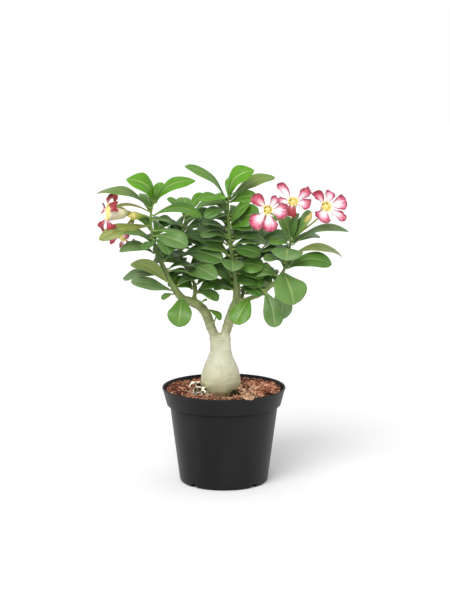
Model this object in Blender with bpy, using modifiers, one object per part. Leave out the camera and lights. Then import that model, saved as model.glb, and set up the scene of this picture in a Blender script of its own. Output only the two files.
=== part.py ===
"""A flowering desert rose (Adenium obesum) growing in a 17 cm nursery pot.

The origin is the centre of the pot's flat base, +Z is up and the plant's open side faces -Y.
The tables below are in millimetres and degrees. The solids are made in metres.
"""

import math

import bmesh
import bpy
from mathutils import Quaternion, Vector

MM = 0.001
UP = Vector((0, 0, 1))

# Gap left between two pieces that touch.
GAP = 0.4

# Pot: a thin tapered shell with a deep collar.
POT_HEIGHT = 132
RIM_RADIUS = 85
COLLAR_HEIGHT = 24
COLLAR_FOOT_RADIUS = 78.5
BODY_TOP_RADIUS = 74.3
BASE_RADIUS = 60.5
BASE_CHAMFER = 2
WALL = 1.9
FLOOR = 3
NOTCH_WIDTH = 11
NOTCH_HEIGHT = 5
NOTCH_DEPTH = 9
NOTCH_ANGLES = (48, 132, 228, 312)
POT_STEPS = 48

# Growing mix: it fills the pot to a little under the rim.
SOIL_TOP = 127
SOIL_CROWN = 2

# Caudex: (radius, height) down its outer side. Its axis is a little to the left of the pot's.
CAUDEX_X = -4.5
CAUDEX_OUTLINE = (
    (14.5, 199),
    (14.2, 190),
    (15.0, 181),
    (18.5, 171),
    (23.5, 160),
    (27.0, 148),
    (27.8, 139),
    (26.0, 128),
    (21.0, 117),
    (13.0, 107),
    (7.0, 97),
)
CAUDEX_STEPS = 24

# Woody stems: (x, y, z, radius) from the foot to the growing tip.
LIMBS = {
    "left_limb": (
        (-12.7, 0, 199.8, 7.0),
        (-12.9, 0, 204, 7.0),
        (-17.5, -1, 214, 6.8),
        (-23, -4, 232, 6.9),
        (-33, -9, 246, 6.6),
        (-47, -13, 253, 6.2),
    ),
    "right_limb": (
        (2.0, 0, 199.8, 7.0),
        (2.2, 0, 204, 7.1),
        (6.5, 0, 220, 7.2),
        (14, 0, 242, 7.0),
        (17.8, 0, 251, 6.4),
        (18, 0, 255, 6.3),
    ),
}
SHOOTS = {
    "left_shoot": (
        (-50.5, -15, 254.6, 5.6),
        (-60, -20, 262, 5.4),
        (-72, -27, 283, 4.8),
        (-84, -32, 309, 4.2),
        (-94, -32, 338, 3.5),
        (-98, -28, 369, 2.8),
        (-93, -25, 394, 1.9),
    ),
    "middle_left_shoot": (
        (-40, -3.5, 259, 3.0),
        (-39, 2, 270, 3.0),
        (-46, 9, 286, 2.9),
        (-56, 16, 303, 2.8),
        (-60, 23, 322, 2.6),
        (-57, 30, 345, 2.3),
        (-51, 36, 366, 1.6),
    ),
    "centre_shoot": (
        (18, 0, 255.6, 6.2),
        (17, -2, 276, 5.4),
        (13, -7, 306, 4.1),
        (8, -10, 338, 3.5),
        (6, -8, 370, 3.0),
        (5.5, -6, 396, 2.0),
    ),
    "right_shoot": (
        (26.5, -5, 253, 3.0),
        (37, -10, 257, 3.0),
        (51, -19, 264, 2.9),
        (70, -31, 284, 2.8),
        (83, -37, 305, 2.8),
        (90, -38, 341, 2.2),
    ),
    "rear_right_shoot": (
        (23.5, 8, 250, 2.8),
        (29, 23, 266, 2.8),
        (38, 38, 288, 2.7),
        (44, 50, 312, 2.5),
        (47, 58, 340, 1.8),
    ),
}
CURVE_STEPS = 3

# Leaves: shoot, height of the stalk on it, reach from stalk to tip (x, y, z), width, arch, and lean.
# The arch is how far the midrib rises over its straight line. The lean turns the leaf's face
# to the front, or to the left on a leaf that points at the front.
LEAVES = {
    "left_leaf_1": ("left_shoot", 392, (-34, -20, 30), 32, 11, 55),
    "left_leaf_2": ("left_shoot", 389, (55, -15, 30), 26, 10, 35),
    "left_leaf_3": ("left_shoot", 382, (-70, -4, 22), 22, 12, 5),
    "left_leaf_4": ("left_shoot", 358, (-66, -26, -12), 21, 7, 20),
    "left_leaf_5": ("left_shoot", 342, (-40, -20, 12), 20, 7, 5),
    "left_leaf_6": ("left_shoot", 322, (-48, -15, 6), 21, 9, 5),
    "left_leaf_7": ("left_shoot", 283, (-48, -46, 34), 24, 5, -40),
    "left_leaf_8": ("left_shoot", 292, (-58, 6, -6), 23, 7, 10),
    "left_leaf_9": ("left_shoot", 270, (-57, -26, 16), 22, 4, 0),
    "left_leaf_10": ("left_shoot", 259, (-4, -34, -32), 30, 7, 0),
    "left_leaf_11": ("left_shoot", 372, (66, -14, 2), 24, 10, 15),
    "left_leaf_12": ("left_shoot", 345, (46, -28, -9), 26, 6, 35),
    "left_leaf_13": ("left_shoot", 330, (-16, 48, 8), 25, 8, 0),
    "middle_left_leaf_1": ("middle_left_shoot", 338, (56, -32, -6), 28, 8, 30),
    "middle_left_leaf_2": ("middle_left_shoot", 314, (56, -36, -4), 28, 9, 25),
    "middle_left_leaf_3": ("middle_left_shoot", 298, (42, -58, -8), 26, 8, 25),
    "middle_left_leaf_4": ("middle_left_shoot", 330, (-6, 58, 10), 27, 10, 0),
    "middle_left_leaf_5": ("middle_left_shoot", 263, (30, -22, -6), 18, 5, 20),
    "centre_leaf_1": ("centre_shoot", 395, (34, -15, 36), 32, 10, 50),
    "centre_leaf_2": ("centre_shoot", 391, (62, 16, 28), 22, 8, 25),
    "centre_leaf_3": ("centre_shoot", 393, (-54, -14, 45), 21, 9, 20),
    "centre_leaf_4": ("centre_shoot", 386, (-38, -28, 8), 24, 9, 20),
    "centre_leaf_5": ("centre_shoot", 354, (38, -30, 22), 32, 5, 45),
    "centre_leaf_6": ("centre_shoot", 304, (-2, -42, -4), 29, 9, 0),
    "centre_leaf_7": ("centre_shoot", 277, (-36, -14, 24), 24, 5, 30),
    "centre_leaf_8": ("centre_shoot", 268, (-30, -16, 2), 18, 6, 5),
    "centre_leaf_9": ("centre_shoot", 352, (-14, 52, 12), 27, 10, 0),
    "right_leaf_1": ("right_shoot", 340, (8, -6, 36), 18, 4, 60),
    "right_leaf_2": ("right_shoot", 334, (76, 14, 18), 20, 10, 5),
    "right_leaf_3": ("right_shoot", 325, (-6, -38, -6), 38, 9, 5),
    "right_leaf_4": ("right_shoot", 319, (70, 8, -2), 22, 13, 5),
    "right_leaf_5": ("right_shoot", 302, (60, -15, 8), 27, 12, 20),
    "right_leaf_6": ("right_shoot", 296, (14, -40, -34), 42, 8, 0),
    "right_leaf_7": ("right_shoot", 281, (12, 6, -50), 24, 5, 0),
    "right_leaf_8": ("right_shoot", 267, (14, -28, -42), 25, 4, -10),
    "right_leaf_9": ("right_shoot", 257, (-22, -26, -30), 27, 5, 15),
    "rear_right_leaf_1": ("rear_right_shoot", 320, (22, 50, 12), 27, 10, 0),
}
LEAF_THICKNESS = 1.2
LEAF_CLEARANCE = 1.8
LEAF_STALK = 0.12
LEAF_FOLD = 0.16
LEAF_CELLS_ACROSS = 2
LEAF_CELLS_ALONG = 7

# Flowers: centre of the mouth, the way it faces, turn of its lobes, and the route of its stalk.
FLOWERS = {
    "flower_a": (
        (58, -61, 384), (-0.05, -0.97, 0.22), 43,
        ((87, -32.5, 344), (81, -24, 357), (70, -18, 369), (61, -23, 376)),
    ),
    "flower_b": (
        (92, -46, 393), (0, -0.8, 0.6), 47,
        ((92, -34, 346), (94, -24, 354), (93, -16, 364)),
    ),
    "flower_c": (
        (137, -33, 385), (0.25, -0.85, 0.45), 20,
        ((95, -35.5, 344), (106, -22, 351), (119, -10, 359), (128, -4, 366)),
    ),
    "flower_d": (
        (-154, -40, 378), (-0.93, -0.35, 0.1), 30,
        ((-103, -27, 371), (-112, -24.5, 373)),
    ),
    "flower_e": (
        (-138, -12, 340), (-0.45, -0.55, -0.7), 60,
        ((-99, -21.5, 368), (-107, -8, 369), (-117, 4, 366)),
    ),
}
LOBES = 5
LOBE_RADIUS = 27
NOTCH_RADIUS = 12
THROAT_RADIUS = 8
TUBE_RADIUS = 2.6
TUBE_LENGTH = 28
LIMB_RISE = 3
PETAL_THICKNESS = 0.8
PETAL_CELLS_ROUND = 25
PETAL_CELLS_ALONG = 5
STALK_RADIUS = 1.3
CALYX_RADIUS = 3.2
CALYX_LENGTH = 5

# Unopened buds: (x, y, z, radius) along each.
BUDS = {
    "right_bud": (
        (97, -42, 345, 1.2),
        (105, -47, 358, 1.8),
        (112, -50, 370, 4.0),
        (117, -51, 380, 4.4),
        (120, -52, 390, 1.2),
    ),
    "left_bud": (
        (-102.5, -32, 371, 1.4),
        (-110, -40, 373, 2.4),
        (-120, -49, 374, 4.6),
        (-130, -55, 374, 4.4),
        (-138, -59, 372, 1.4),
    ),
}

# A flake of bark that lies across the rim.
FLAKE_CENTRE = (31, -70, 136)
FLAKE_SIZE = (20, 27, 6)
FLAKE_TURN = 18


def clear_scene():
    for obj in list(bpy.data.objects):
        bpy.data.objects.remove(obj)


def add_collection(name):
    made = bpy.data.collections.new(name)
    bpy.context.scene.collection.children.link(made)
    return made


def material(name, colour, roughness):
    """A Principled material. colour is linear red, green and blue."""
    made = bpy.data.materials.new(name)
    made.use_nodes = True
    shader = made.node_tree.nodes["Principled BSDF"]
    shader.inputs["Base Color"].default_value = (*colour, 1)
    shader.inputs["Roughness"].default_value = roughness
    shader.inputs["Metallic"].default_value = 0
    return made


def add_object(name, data, look, collection):
    obj = bpy.data.objects.new(name, data)
    obj.data.materials.append(look)
    collection.objects.link(obj)
    return obj


def make_cutter(obj):
    obj.hide_render = True
    obj.display_type = "WIRE"


def cut(obj, cutter):
    boolean = obj.modifiers.new("Cut " + cutter.name, "BOOLEAN")
    boolean.operation = "DIFFERENCE"
    boolean.object = cutter


def turned(name, outline, steps, look, collection, axis_x=0):
    """A solid turned about a vertical axis. The outline is (radius, height), down the outer side."""
    mesh = bpy.data.meshes.new(name)
    edges = [(i, i + 1) for i in range(len(outline) - 1)]
    mesh.from_pydata([(r * MM, 0, z * MM) for r, z in outline], edges, [])
    obj = add_object(name, mesh, look, collection)
    obj.location.x = axis_x * MM
    screw = obj.modifiers.new("Turn", "SCREW")
    screw.steps = screw.render_steps = steps
    screw.use_merge_vertices = True
    screw.merge_threshold = 0.00001
    return obj


def smooth_route(points, steps=CURVE_STEPS):
    """Points of any dimension along a Catmull-Rom curve through the given ones."""
    ends = [[2 * a - b for a, b in zip(points[0], points[1])]]
    ends += [list(p) for p in points]
    ends += [[2 * a - b for a, b in zip(points[-1], points[-2])]]
    route = []
    for p, q, r, s in zip(ends, ends[1:], ends[2:], ends[3:]):
        for i in range(steps):
            t = i / steps
            route.append([
                0.5 * (2 * b + (c - a) * t + (2 * a - 5 * b + 4 * c - d) * t**2
                       + (3 * b - a - 3 * c + d) * t**3)
                for a, b, c, d in zip(p, q, r, s)
            ])
    route.append(list(points[-1]))
    return route


def tube(name, route, look, collection):
    """A round stem along (x, y, z, radius) points, with flat ends."""
    curve = bpy.data.curves.new(name, "CURVE")
    curve.dimensions = "3D"
    curve.bevel_depth = MM
    curve.bevel_resolution = 2
    curve.use_fill_caps = True
    spline = curve.splines.new("POLY")
    spline.points.add(len(route) - 1)
    for point, (x, y, z, radius) in zip(spline.points, route):
        point.co = (x * MM, y * MM, z * MM, 1)
        point.radius = radius
    return add_object(name, curve, look, collection)


def place_on_shoot(shoot, height):
    """The centre and the radius of a shoot where it reaches a height."""
    route = smooth_route(SHOOTS[shoot])
    for low, high in zip(route, route[1:]):
        if low[2] <= height <= high[2]:
            part = (height - low[2]) / (high[2] - low[2])
            x, y, z, radius = (a + (b - a) * part for a, b in zip(low, high))
            return Vector((x, y, z)), radius
    raise ValueError(f"{shoot} doesn't reach {height}")


def leaf_half_width(t):
    """Half the width of an obovate leaf at t of its length, as a part of the greatest half width."""
    return LEAF_STALK + (1 - LEAF_STALK) * max(0, math.sin(math.pi * t**1.6)) ** 0.65


def leaf(name, look, collection):
    shoot, height, reach, width, arch, lean = LEAVES[name]
    reach = Vector(reach)
    base, radius = place_on_shoot(shoot, height)
    out = Vector((reach.x, reach.y, 0)).normalized()
    base += out * (radius + LEAF_CLEARANCE)
    reach -= out * (radius + LEAF_CLEARANCE)
    along = reach.normalized()
    side = along.cross(UP).normalized()
    if side.y > 0:
        side.negate()
    level = side.cross(along)
    if level.z < 0:
        level.negate()
    face = level * math.cos(math.radians(lean)) + side * math.sin(math.radians(lean))
    across = along.cross(face)

    bm = bmesh.new()
    bmesh.ops.create_grid(bm, x_segments=LEAF_CELLS_ACROSS, y_segments=LEAF_CELLS_ALONG, size=1)
    for vert in bm.verts:
        x, t = vert.co.x, (vert.co.y + 1) / 2
        half = width / 2 * leaf_half_width(t)
        rise = arch * 4 * t * (1 - t) + LEAF_FOLD * abs(x) * half
        vert.co = (base + reach * t + across * x * half + face * rise) * MM
    mesh = bpy.data.meshes.new(name)
    bm.to_mesh(mesh)
    bm.free()
    mesh.shade_smooth()
    obj = add_object(name, mesh, look, collection)
    thicken(obj, LEAF_THICKNESS)
    return obj


def thicken(obj, thickness):
    solidify = obj.modifiers.new("Thickness", "SOLIDIFY")
    solidify.thickness = thickness * MM
    solidify.offset = 0


def corolla(name, look, collection):
    """Five petals fused into a funnel. Its mouth is at the flower's centre, facing along its axis."""
    centre, facing, turn, _ = FLOWERS[name]
    bm = bmesh.new()
    bmesh.ops.create_grid(bm, x_segments=PETAL_CELLS_ROUND, y_segments=PETAL_CELLS_ALONG, size=1)
    for vert in bm.verts:
        angle = math.pi * (vert.co.x + 1)
        t = (vert.co.y + 1) / 2
        swing = abs(math.cos(LOBES / 2 * (angle - math.radians(turn)))) ** 0.7
        edge = NOTCH_RADIUS + (LOBE_RADIUS - NOTCH_RADIUS) * swing
        if t <= 0.5:
            r = TUBE_RADIUS + (THROAT_RADIUS - TUBE_RADIUS) * (2 * t) ** 1.5
            z = TUBE_LENGTH * (2 * t - 1)
        else:
            r = THROAT_RADIUS + (edge - THROAT_RADIUS) * (2 * t - 1)
            z = LIMB_RISE * math.sin(math.pi * (t - 0.5))
        vert.co = (r * math.cos(angle) * MM, r * math.sin(angle) * MM, z * MM)
    bmesh.ops.remove_doubles(bm, verts=bm.verts, dist=0.01 * MM)
    bmesh.ops.recalc_face_normals(bm, faces=bm.faces)
    mesh = bpy.data.meshes.new(name)
    bm.to_mesh(mesh)
    bm.free()
    mesh.shade_smooth()
    obj = add_object(name + "_corolla", mesh, look, collection)
    obj.location = Vector(centre) * MM
    obj.rotation_mode = "QUATERNION"
    obj.rotation_quaternion = Vector(facing).to_track_quat("Z", "Y")
    thicken(obj, PETAL_THICKNESS)
    return obj


def flower_stalk(name, look, collection):
    """The stalk of a flower, which widens into the calyx that holds the corolla."""
    centre, facing, _, route = FLOWERS[name]
    axis = Vector(facing).normalized()
    foot = Vector(centre) - axis * (TUBE_LENGTH + GAP)
    calyx_foot = foot - axis * CALYX_LENGTH
    points = [(*p, STALK_RADIUS) for p in route]
    points += [(*calyx_foot, CALYX_RADIUS * 0.7), (*foot, CALYX_RADIUS)]
    return tube(name + "_stalk", smooth_route(points), look, collection)


def pot(look, collection, cutters):
    inner_top = BODY_TOP_RADIUS - WALL
    collar_foot = POT_HEIGHT - COLLAR_HEIGHT
    outline = (
        (0, FLOOR),
        (BASE_RADIUS - WALL, FLOOR),
        (inner_top, collar_foot - 1),
        (COLLAR_FOOT_RADIUS - WALL, collar_foot + WALL),
        (RIM_RADIUS - WALL - 0.8, POT_HEIGHT - 2),
        (RIM_RADIUS - WALL - 0.3, POT_HEIGHT),
        (RIM_RADIUS - 0.6, POT_HEIGHT),
        (RIM_RADIUS, POT_HEIGHT - 0.8),
        (RIM_RADIUS, POT_HEIGHT - 3),
        (COLLAR_FOOT_RADIUS, collar_foot),
        (BODY_TOP_RADIUS, collar_foot - 1),
        (BASE_RADIUS, BASE_CHAMFER),
        (BASE_RADIUS - BASE_CHAMFER, 0),
        (0, 0),
    )
    obj = turned("pot", outline, POT_STEPS, look, collection)
    for number, angle in enumerate(NOTCH_ANGLES, 1):
        turn = math.radians(angle)
        reach = BASE_RADIUS + 2 - NOTCH_DEPTH / 2
        bpy.ops.mesh.primitive_cube_add(size=1)
        cutter = bpy.context.object
        cutter.name = f"drain_notch_{number}"
        cutter.scale = (NOTCH_DEPTH * MM, NOTCH_WIDTH * MM, 2 * NOTCH_HEIGHT * MM)
        cutter.location = (reach * math.cos(turn) * MM, reach * math.sin(turn) * MM, 0)
        cutter.rotation_euler.z = turn
        for holder in list(cutter.users_collection):
            holder.objects.unlink(cutter)
        cutters.objects.link(cutter)
        make_cutter(cutter)
        cut(obj, cutter)
    return obj


def soil(look, collection, cutters):
    """The growing mix, which follows the pot's inside and is cut round the buried caudex."""
    collar_foot = POT_HEIGHT - COLLAR_HEIGHT
    slope = (RIM_RADIUS - COLLAR_FOOT_RADIUS) / COLLAR_HEIGHT
    top_radius = COLLAR_FOOT_RADIUS + slope * (SOIL_TOP - collar_foot) - WALL - 1.5
    outline = (
        (0, SOIL_TOP + SOIL_CROWN),
        (top_radius * 0.55, SOIL_TOP + SOIL_CROWN * 0.7),
        (top_radius, SOIL_TOP),
        (COLLAR_FOOT_RADIUS - WALL - 1, collar_foot + WALL + 1),
        (BODY_TOP_RADIUS - WALL - 0.6, collar_foot - 1),
        (BASE_RADIUS - WALL - 0.6, FLOOR + NOTCH_HEIGHT),
        (BASE_RADIUS - NOTCH_DEPTH, FLOOR + GAP),
        (0, FLOOR + GAP),
    )
    obj = turned("soil", outline, POT_STEPS, look, collection)
    socket = [(0, CAUDEX_OUTLINE[0][1])]
    socket += [(radius + GAP, z - GAP) for radius, z in CAUDEX_OUTLINE]
    socket += [(0, CAUDEX_OUTLINE[-1][1] - GAP)]
    cutter = turned("caudex_socket", socket, CAUDEX_STEPS, look, cutters, CAUDEX_X)
    make_cutter(cutter)
    cut(obj, cutter)
    return obj


def caudex(look, collection):
    outline = [(0, CAUDEX_OUTLINE[0][1]), *CAUDEX_OUTLINE, (0, CAUDEX_OUTLINE[-1][1])]
    return turned("caudex", outline, CAUDEX_STEPS, look, collection, CAUDEX_X)


def bark_flake(look, collection):
    mesh = bpy.data.meshes.new("bark_flake")
    bm = bmesh.new()
    bmesh.ops.create_icosphere(bm, subdivisions=1, radius=0.5)
    for vert in bm.verts:
        vert.co = [side * reach * MM for side, reach in zip(vert.co, FLAKE_SIZE)]
    bm.to_mesh(mesh)
    bm.free()
    obj = add_object("bark_flake", mesh, look, collection)
    obj.location = Vector(FLAKE_CENTRE) * MM
    obj.rotation_euler.z = math.radians(FLAKE_TURN)
    return obj


def main():
    clear_scene()
    plant = add_collection("potted_desert_rose")
    cutters = add_collection("cutters")

    black_plastic = material("black_plastic", (0.012, 0.012, 0.013), 0.45)
    bark_mix = material("bark_mix", (0.20, 0.055, 0.022), 0.9)
    tan_bark = material("tan_bark", (0.35, 0.20, 0.10), 0.9)
    caudex_skin = material("caudex_skin", (0.58, 0.58, 0.40), 0.6)
    stem_bark = material("stem_bark", (0.30, 0.30, 0.15), 0.65)
    leaf_green = material("leaf_green", (0.08, 0.20, 0.03), 0.4)
    stalk_green = material("stalk_green", (0.28, 0.33, 0.06), 0.5)
    petal_pink = material("petal_pink", (0.65, 0.10, 0.17), 0.5)

    pot(black_plastic, plant, cutters)
    soil(bark_mix, plant, cutters)
    bark_flake(tan_bark, plant)
    caudex(caudex_skin, plant)
    for name, route in (*LIMBS.items(), *SHOOTS.items()):
        tube(name, smooth_route(route), stem_bark, plant)
    for name in LEAVES:
        leaf(name, leaf_green, plant)
    for name in FLOWERS:
        corolla(name, petal_pink, plant)
        flower_stalk(name, stalk_green, plant)
    for name, route in BUDS.items():
        tube(name, smooth_route(route), stalk_green, plant)


main()
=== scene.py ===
"""The looks of the potted desert rose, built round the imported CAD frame.

Tables and shapes are in millimetres and degrees. Each mesh is turned into metres when it is made.
"""

import math
import random

import bmesh
import bpy
import numpy as np
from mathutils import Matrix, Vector, noise


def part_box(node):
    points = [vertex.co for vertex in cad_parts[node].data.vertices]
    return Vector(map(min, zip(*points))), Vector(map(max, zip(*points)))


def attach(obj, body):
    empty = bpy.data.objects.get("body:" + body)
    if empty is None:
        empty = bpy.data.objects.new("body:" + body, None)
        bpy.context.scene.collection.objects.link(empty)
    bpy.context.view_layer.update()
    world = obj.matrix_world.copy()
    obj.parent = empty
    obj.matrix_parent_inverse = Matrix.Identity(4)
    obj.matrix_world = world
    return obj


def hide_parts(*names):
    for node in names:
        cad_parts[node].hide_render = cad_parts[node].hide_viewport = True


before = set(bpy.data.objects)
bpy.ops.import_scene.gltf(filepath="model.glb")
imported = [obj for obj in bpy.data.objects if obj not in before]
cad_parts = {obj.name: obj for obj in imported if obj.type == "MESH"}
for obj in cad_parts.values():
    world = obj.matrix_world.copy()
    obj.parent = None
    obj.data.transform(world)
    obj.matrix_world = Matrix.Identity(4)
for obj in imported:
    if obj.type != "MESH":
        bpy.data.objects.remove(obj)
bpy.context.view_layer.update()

MM = 0.001
MERGE_DISTANCE = 0.00001
GOLDEN_ANGLE = 137.5
UP = np.array((0.0, 0.0, 1.0))
FRONT = np.array((0.0, -1.0, 0.17))
SEED = 7

# Camera, in metres: level across, looking a little down at the plant.
CAMERA_PLACE = (0.0016, -2.3157, 0.6516)
CAMERA_TILT = 9.78
CAMERA_LENS = 103.16
CAMERA_SENSOR = 36

# Light, in metres: one broad sun, from above and to the left of the camera. Its width is in degrees.
SUN_PLACE = (-0.8, -1.9, 2.2)
SUN_AIM = (0, 0, 0.2)
SUN_POWER = 2.3
SUN_WIDTH = 40
SUN_COLOUR = (1.0, 1.0, 0.99)

# Pot: numbers under its rim, as in the CAD.
COLLAR_HEIGHT = 24
COLLAR_FOOT_INSET = 6.5
BODY_TOP_INSET = 10.7
BASE_INSET = 24.5
WALL = 1.9
POT_FLOOR = 3
NOTCH_WIDTH = 11
NOTCH_HEIGHT = 5
NOTCH_DEPTH = 9
NOTCH_ANGLES = (48, 132, 228, 312)
POT_STEPS = 160
POT_ROW = 6

# Flowers.
LOBES = 5
TUBE_LENGTH = 28.4
TUBE_RADIUS = 2.6
CLAW = 2.5


# ---------------------------------------------------------------- small helpers

def unit(vector):
    vector = np.asarray(vector, float)
    return vector / np.linalg.norm(vector)


def ramp01(low, high, value):
    """0 below low, 1 above high, and smooth between."""
    part = np.clip((value - low) / (high - low), 0, 1)
    return part * part * (3 - 2 * part)


def circle(steps):
    """Angles once round, in radians."""
    return np.arange(steps) * 2 * math.pi / steps


def compass(angle):
    """A level direction, from an angle in degrees, and the one a quarter turn to its left."""
    a = math.radians(angle)
    return np.array((math.cos(a), math.sin(a), 0)), np.array((-math.sin(a), math.cos(a), 0))


def mesh_points(mesh):
    """A mesh's vertices in millimetres."""
    points = np.empty(len(mesh.vertices) * 3, np.float32)
    mesh.vertices.foreach_get("co", points)
    return points.reshape(-1, 3).astype(float) / MM


def move_points(mesh, points):
    """Puts a mesh's vertices at points in millimetres."""
    mesh.vertices.foreach_set("co", (points * MM).astype(np.float32).reshape(-1))


def add_value(mesh, name, values):
    """A named value on each vertex, for the materials."""
    attribute = mesh.attributes.new(name, "FLOAT", "POINT")
    attribute.data.foreach_set("value", values.astype(np.float32))


def node_mesh(name):
    """A CAD node's vertices in millimetres, and its triangles."""
    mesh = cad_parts[name].data
    corners = np.empty(len(mesh.loops), np.int32)
    mesh.loops.foreach_get("vertex_index", corners)
    return mesh_points(mesh), corners.reshape(-1, 3)


def node_points(name):
    """The places of a CAD node's vertices, each once."""
    return np.unique(np.round(node_mesh(name)[0], 2), axis=0)


def section(points, triangles, origin, normal):
    """The centre and the radius of a solid where a plane cuts it."""
    side = (points - origin) @ normal
    found = []
    for first, second in ((0, 1), (1, 2), (2, 0)):
        a, b = triangles[:, first], triangles[:, second]
        crosses = side[a] * side[b] < 0
        a, b = a[crosses], b[crosses]
        part = (side[a] / (side[a] - side[b]))[:, None]
        found.append(points[a] + (points[b] - points[a]) * part)
    found = np.concatenate(found)
    centre = (found.min(0) + found.max(0)) / 2
    return centre, np.linalg.norm(found - centre, axis=1).mean()


# Shoots' meshes that have been read already.
SHOOT_MESHES = {}


def shoot_at(shoot, height):
    """The centre and the radius of a shoot at a height."""
    if shoot not in SHOOT_MESHES:
        SHOOT_MESHES[shoot] = node_mesh(shoot)
    points, triangles = SHOOT_MESHES[shoot]
    height = min(max(height, points[:, 2].min() + 3), points[:, 2].max() - 0.4)
    centre, radius = section(points, triangles, np.array((0, 0, height)), UP)
    return centre, min(radius, 7)


class Surface:
    """Vertices in millimetres, faces, and named values on the vertices, gathered from several shapes."""

    def __init__(self, *names):
        self.points = []
        self.faces = []
        self.values = {name: [] for name in names}
        self.count = 0

    def add(self, points, faces, **values):
        points = np.asarray(points, float).reshape(-1, 3)
        self.faces += [[self.count + i for i in face] for face in faces]
        self.points.append(points)
        self.count += len(points)
        for name, gathered in self.values.items():
            given = np.asarray(values.get(name, 0.0), float)
            gathered.append(np.broadcast_to(given.reshape(-1) if given.ndim else given, len(points)))

    def rings(self, rings, **values):
        """A closed skin over rings of points, with a flat end at each end."""
        rings = np.asarray(rings, float)
        rows, columns = rings.shape[:2]
        faces = []
        for i in range(rows - 1):
            for j in range(columns):
                k = (j + 1) % columns
                faces.append((i * columns + j, i * columns + k, (i + 1) * columns + k, (i + 1) * columns + j))
        faces.append(tuple(range(columns))[::-1])
        faces.append(tuple((rows - 1) * columns + j for j in range(columns)))
        self.add(rings, faces, **values)

    def tube(self, route, radii, sides=8, **values):
        """A round tube along points."""
        route = np.asarray(route, float)
        tangents = np.gradient(route, axis=0)
        helper = unit(np.cross(tangents[0], (0.31, 0.22, 0.93)))
        turn = circle(sides)
        rings = []
        for point, tangent, radius in zip(route, tangents, radii):
            tangent = unit(tangent)
            helper = unit(helper - tangent * (helper @ tangent))
            other = np.cross(tangent, helper)
            rings.append(point + radius * (np.cos(turn)[:, None] * helper + np.sin(turn)[:, None] * other))
        for name, value in values.items():
            values[name] = np.repeat(np.broadcast_to(value, len(route)), sides)
        self.rings(rings, **values)

    def mesh(self, name, smooth=True):
        mesh = bpy.data.meshes.new(name)
        points = np.concatenate(self.points) * MM
        mesh.from_pydata(points.tolist(), [], self.faces)
        bm = bmesh.new()
        bm.from_mesh(mesh)
        bmesh.ops.recalc_face_normals(bm, faces=bm.faces)
        bm.to_mesh(mesh)
        bm.free()
        for key, gathered in self.values.items():
            add_value(mesh, key, np.concatenate(gathered))
        if smooth:
            mesh.shade_smooth()
        return mesh

    def make(self, name, material, smooth=True):
        return add_piece(name, self.mesh(name, smooth), material)


def add_piece(name, mesh, material):
    """A new object of the plant, which rides on its one body."""
    made = bpy.data.objects.new(name, mesh)
    mesh.materials.clear()
    mesh.materials.append(material)
    bpy.context.scene.collection.objects.link(made)
    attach(made, "root")
    return made


def evaluated(obj):
    """The object's mesh with its modifiers applied. The object is removed."""
    bpy.context.view_layer.update()
    graph = bpy.context.evaluated_depsgraph_get()
    mesh = bpy.data.meshes.new_from_object(obj.evaluated_get(graph))
    bpy.data.objects.remove(obj)
    return mesh


def scratch(mesh):
    """An object that only holds modifiers for a while."""
    made = bpy.data.objects.new("scratch", mesh)
    bpy.context.scene.collection.objects.link(made)
    return made


def scratch_of(bm):
    """The same from a bmesh, which is freed."""
    mesh = bpy.data.meshes.new("scratch")
    bm.to_mesh(mesh)
    bm.free()
    return scratch(mesh)


def joined_nodes(*names):
    """CAD nodes' meshes in one bmesh, with the corners that they share merged."""
    bm = bmesh.new()
    for name in names:
        bm.from_mesh(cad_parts[name].data)
    bmesh.ops.remove_doubles(bm, verts=bm.verts, dist=MERGE_DISTANCE)
    return bm


def closed_loop(half):
    """A thin section from places 0 to 1 across half of it.

    It runs -1 to 1 along the top and back along the under side. The second array is 1 on the under side.
    """
    u = np.concatenate(((-1.0,), -half[:0:-1], half, (1.0,)))
    return np.concatenate((u, u[-2:0:-1])), np.concatenate((np.zeros(len(u)), np.ones(len(u) - 2)))


def ring_of(radius, height, turn):
    """A ring of points about the Z axis."""
    return np.stack((radius * np.cos(turn), radius * np.sin(turn), np.full(len(turn), float(height))), 1)


def spline(points, count):
    """Points along a Catmull-Rom curve through the given ones."""
    points = np.asarray(points, float)
    ends = np.vstack((2 * points[0] - points[1], points, 2 * points[-1] - points[-2]))
    made = []
    for place in np.linspace(0, len(points) - 1, count):
        i = min(int(place), len(points) - 2)
        t = place - i
        p, q, r, s = ends[i:i + 4]
        made.append(0.5 * (2 * q + (r - p) * t + (2 * p - 5 * q + 4 * r - s) * t**2
                           + (3 * q - p - 3 * r + s) * t**3))
    return np.array(made)


# ---------------------------------------------------------------- materials

def plug(tree, target, **inputs):
    """Links or sets a node's inputs. Input i0, i1 … is given by its number, and any other by its name."""
    for key, value in inputs.items():
        socket = target.inputs[int(key[1:]) if key[1:].isdigit() else key.replace("_", " ")]
        if isinstance(value, bpy.types.NodeSocket):
            tree.links.new(value, socket)
        else:
            socket.default_value = value


def node(tree, kind, settings=(), **inputs):
    """A new shader node, with its inputs as plug takes them."""
    made = tree.nodes.new("ShaderNode" + kind)
    for key, value in dict(settings).items():
        setattr(made, key, value)
    plug(tree, made, **inputs)
    return made


def math_node(tree, operation, first, second=0.0, third=0.0, clamp=False):
    made = node(tree, "Math", {"operation": operation, "use_clamp": clamp}, i0=first, i1=second, i2=third)
    return made.outputs[0]


def times(tree, first, second, clamp=False):
    return math_node(tree, "MULTIPLY", first, second, clamp=clamp)


def times_plus(tree, first, second, third):
    return math_node(tree, "MULTIPLY_ADD", first, second, third)


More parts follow.
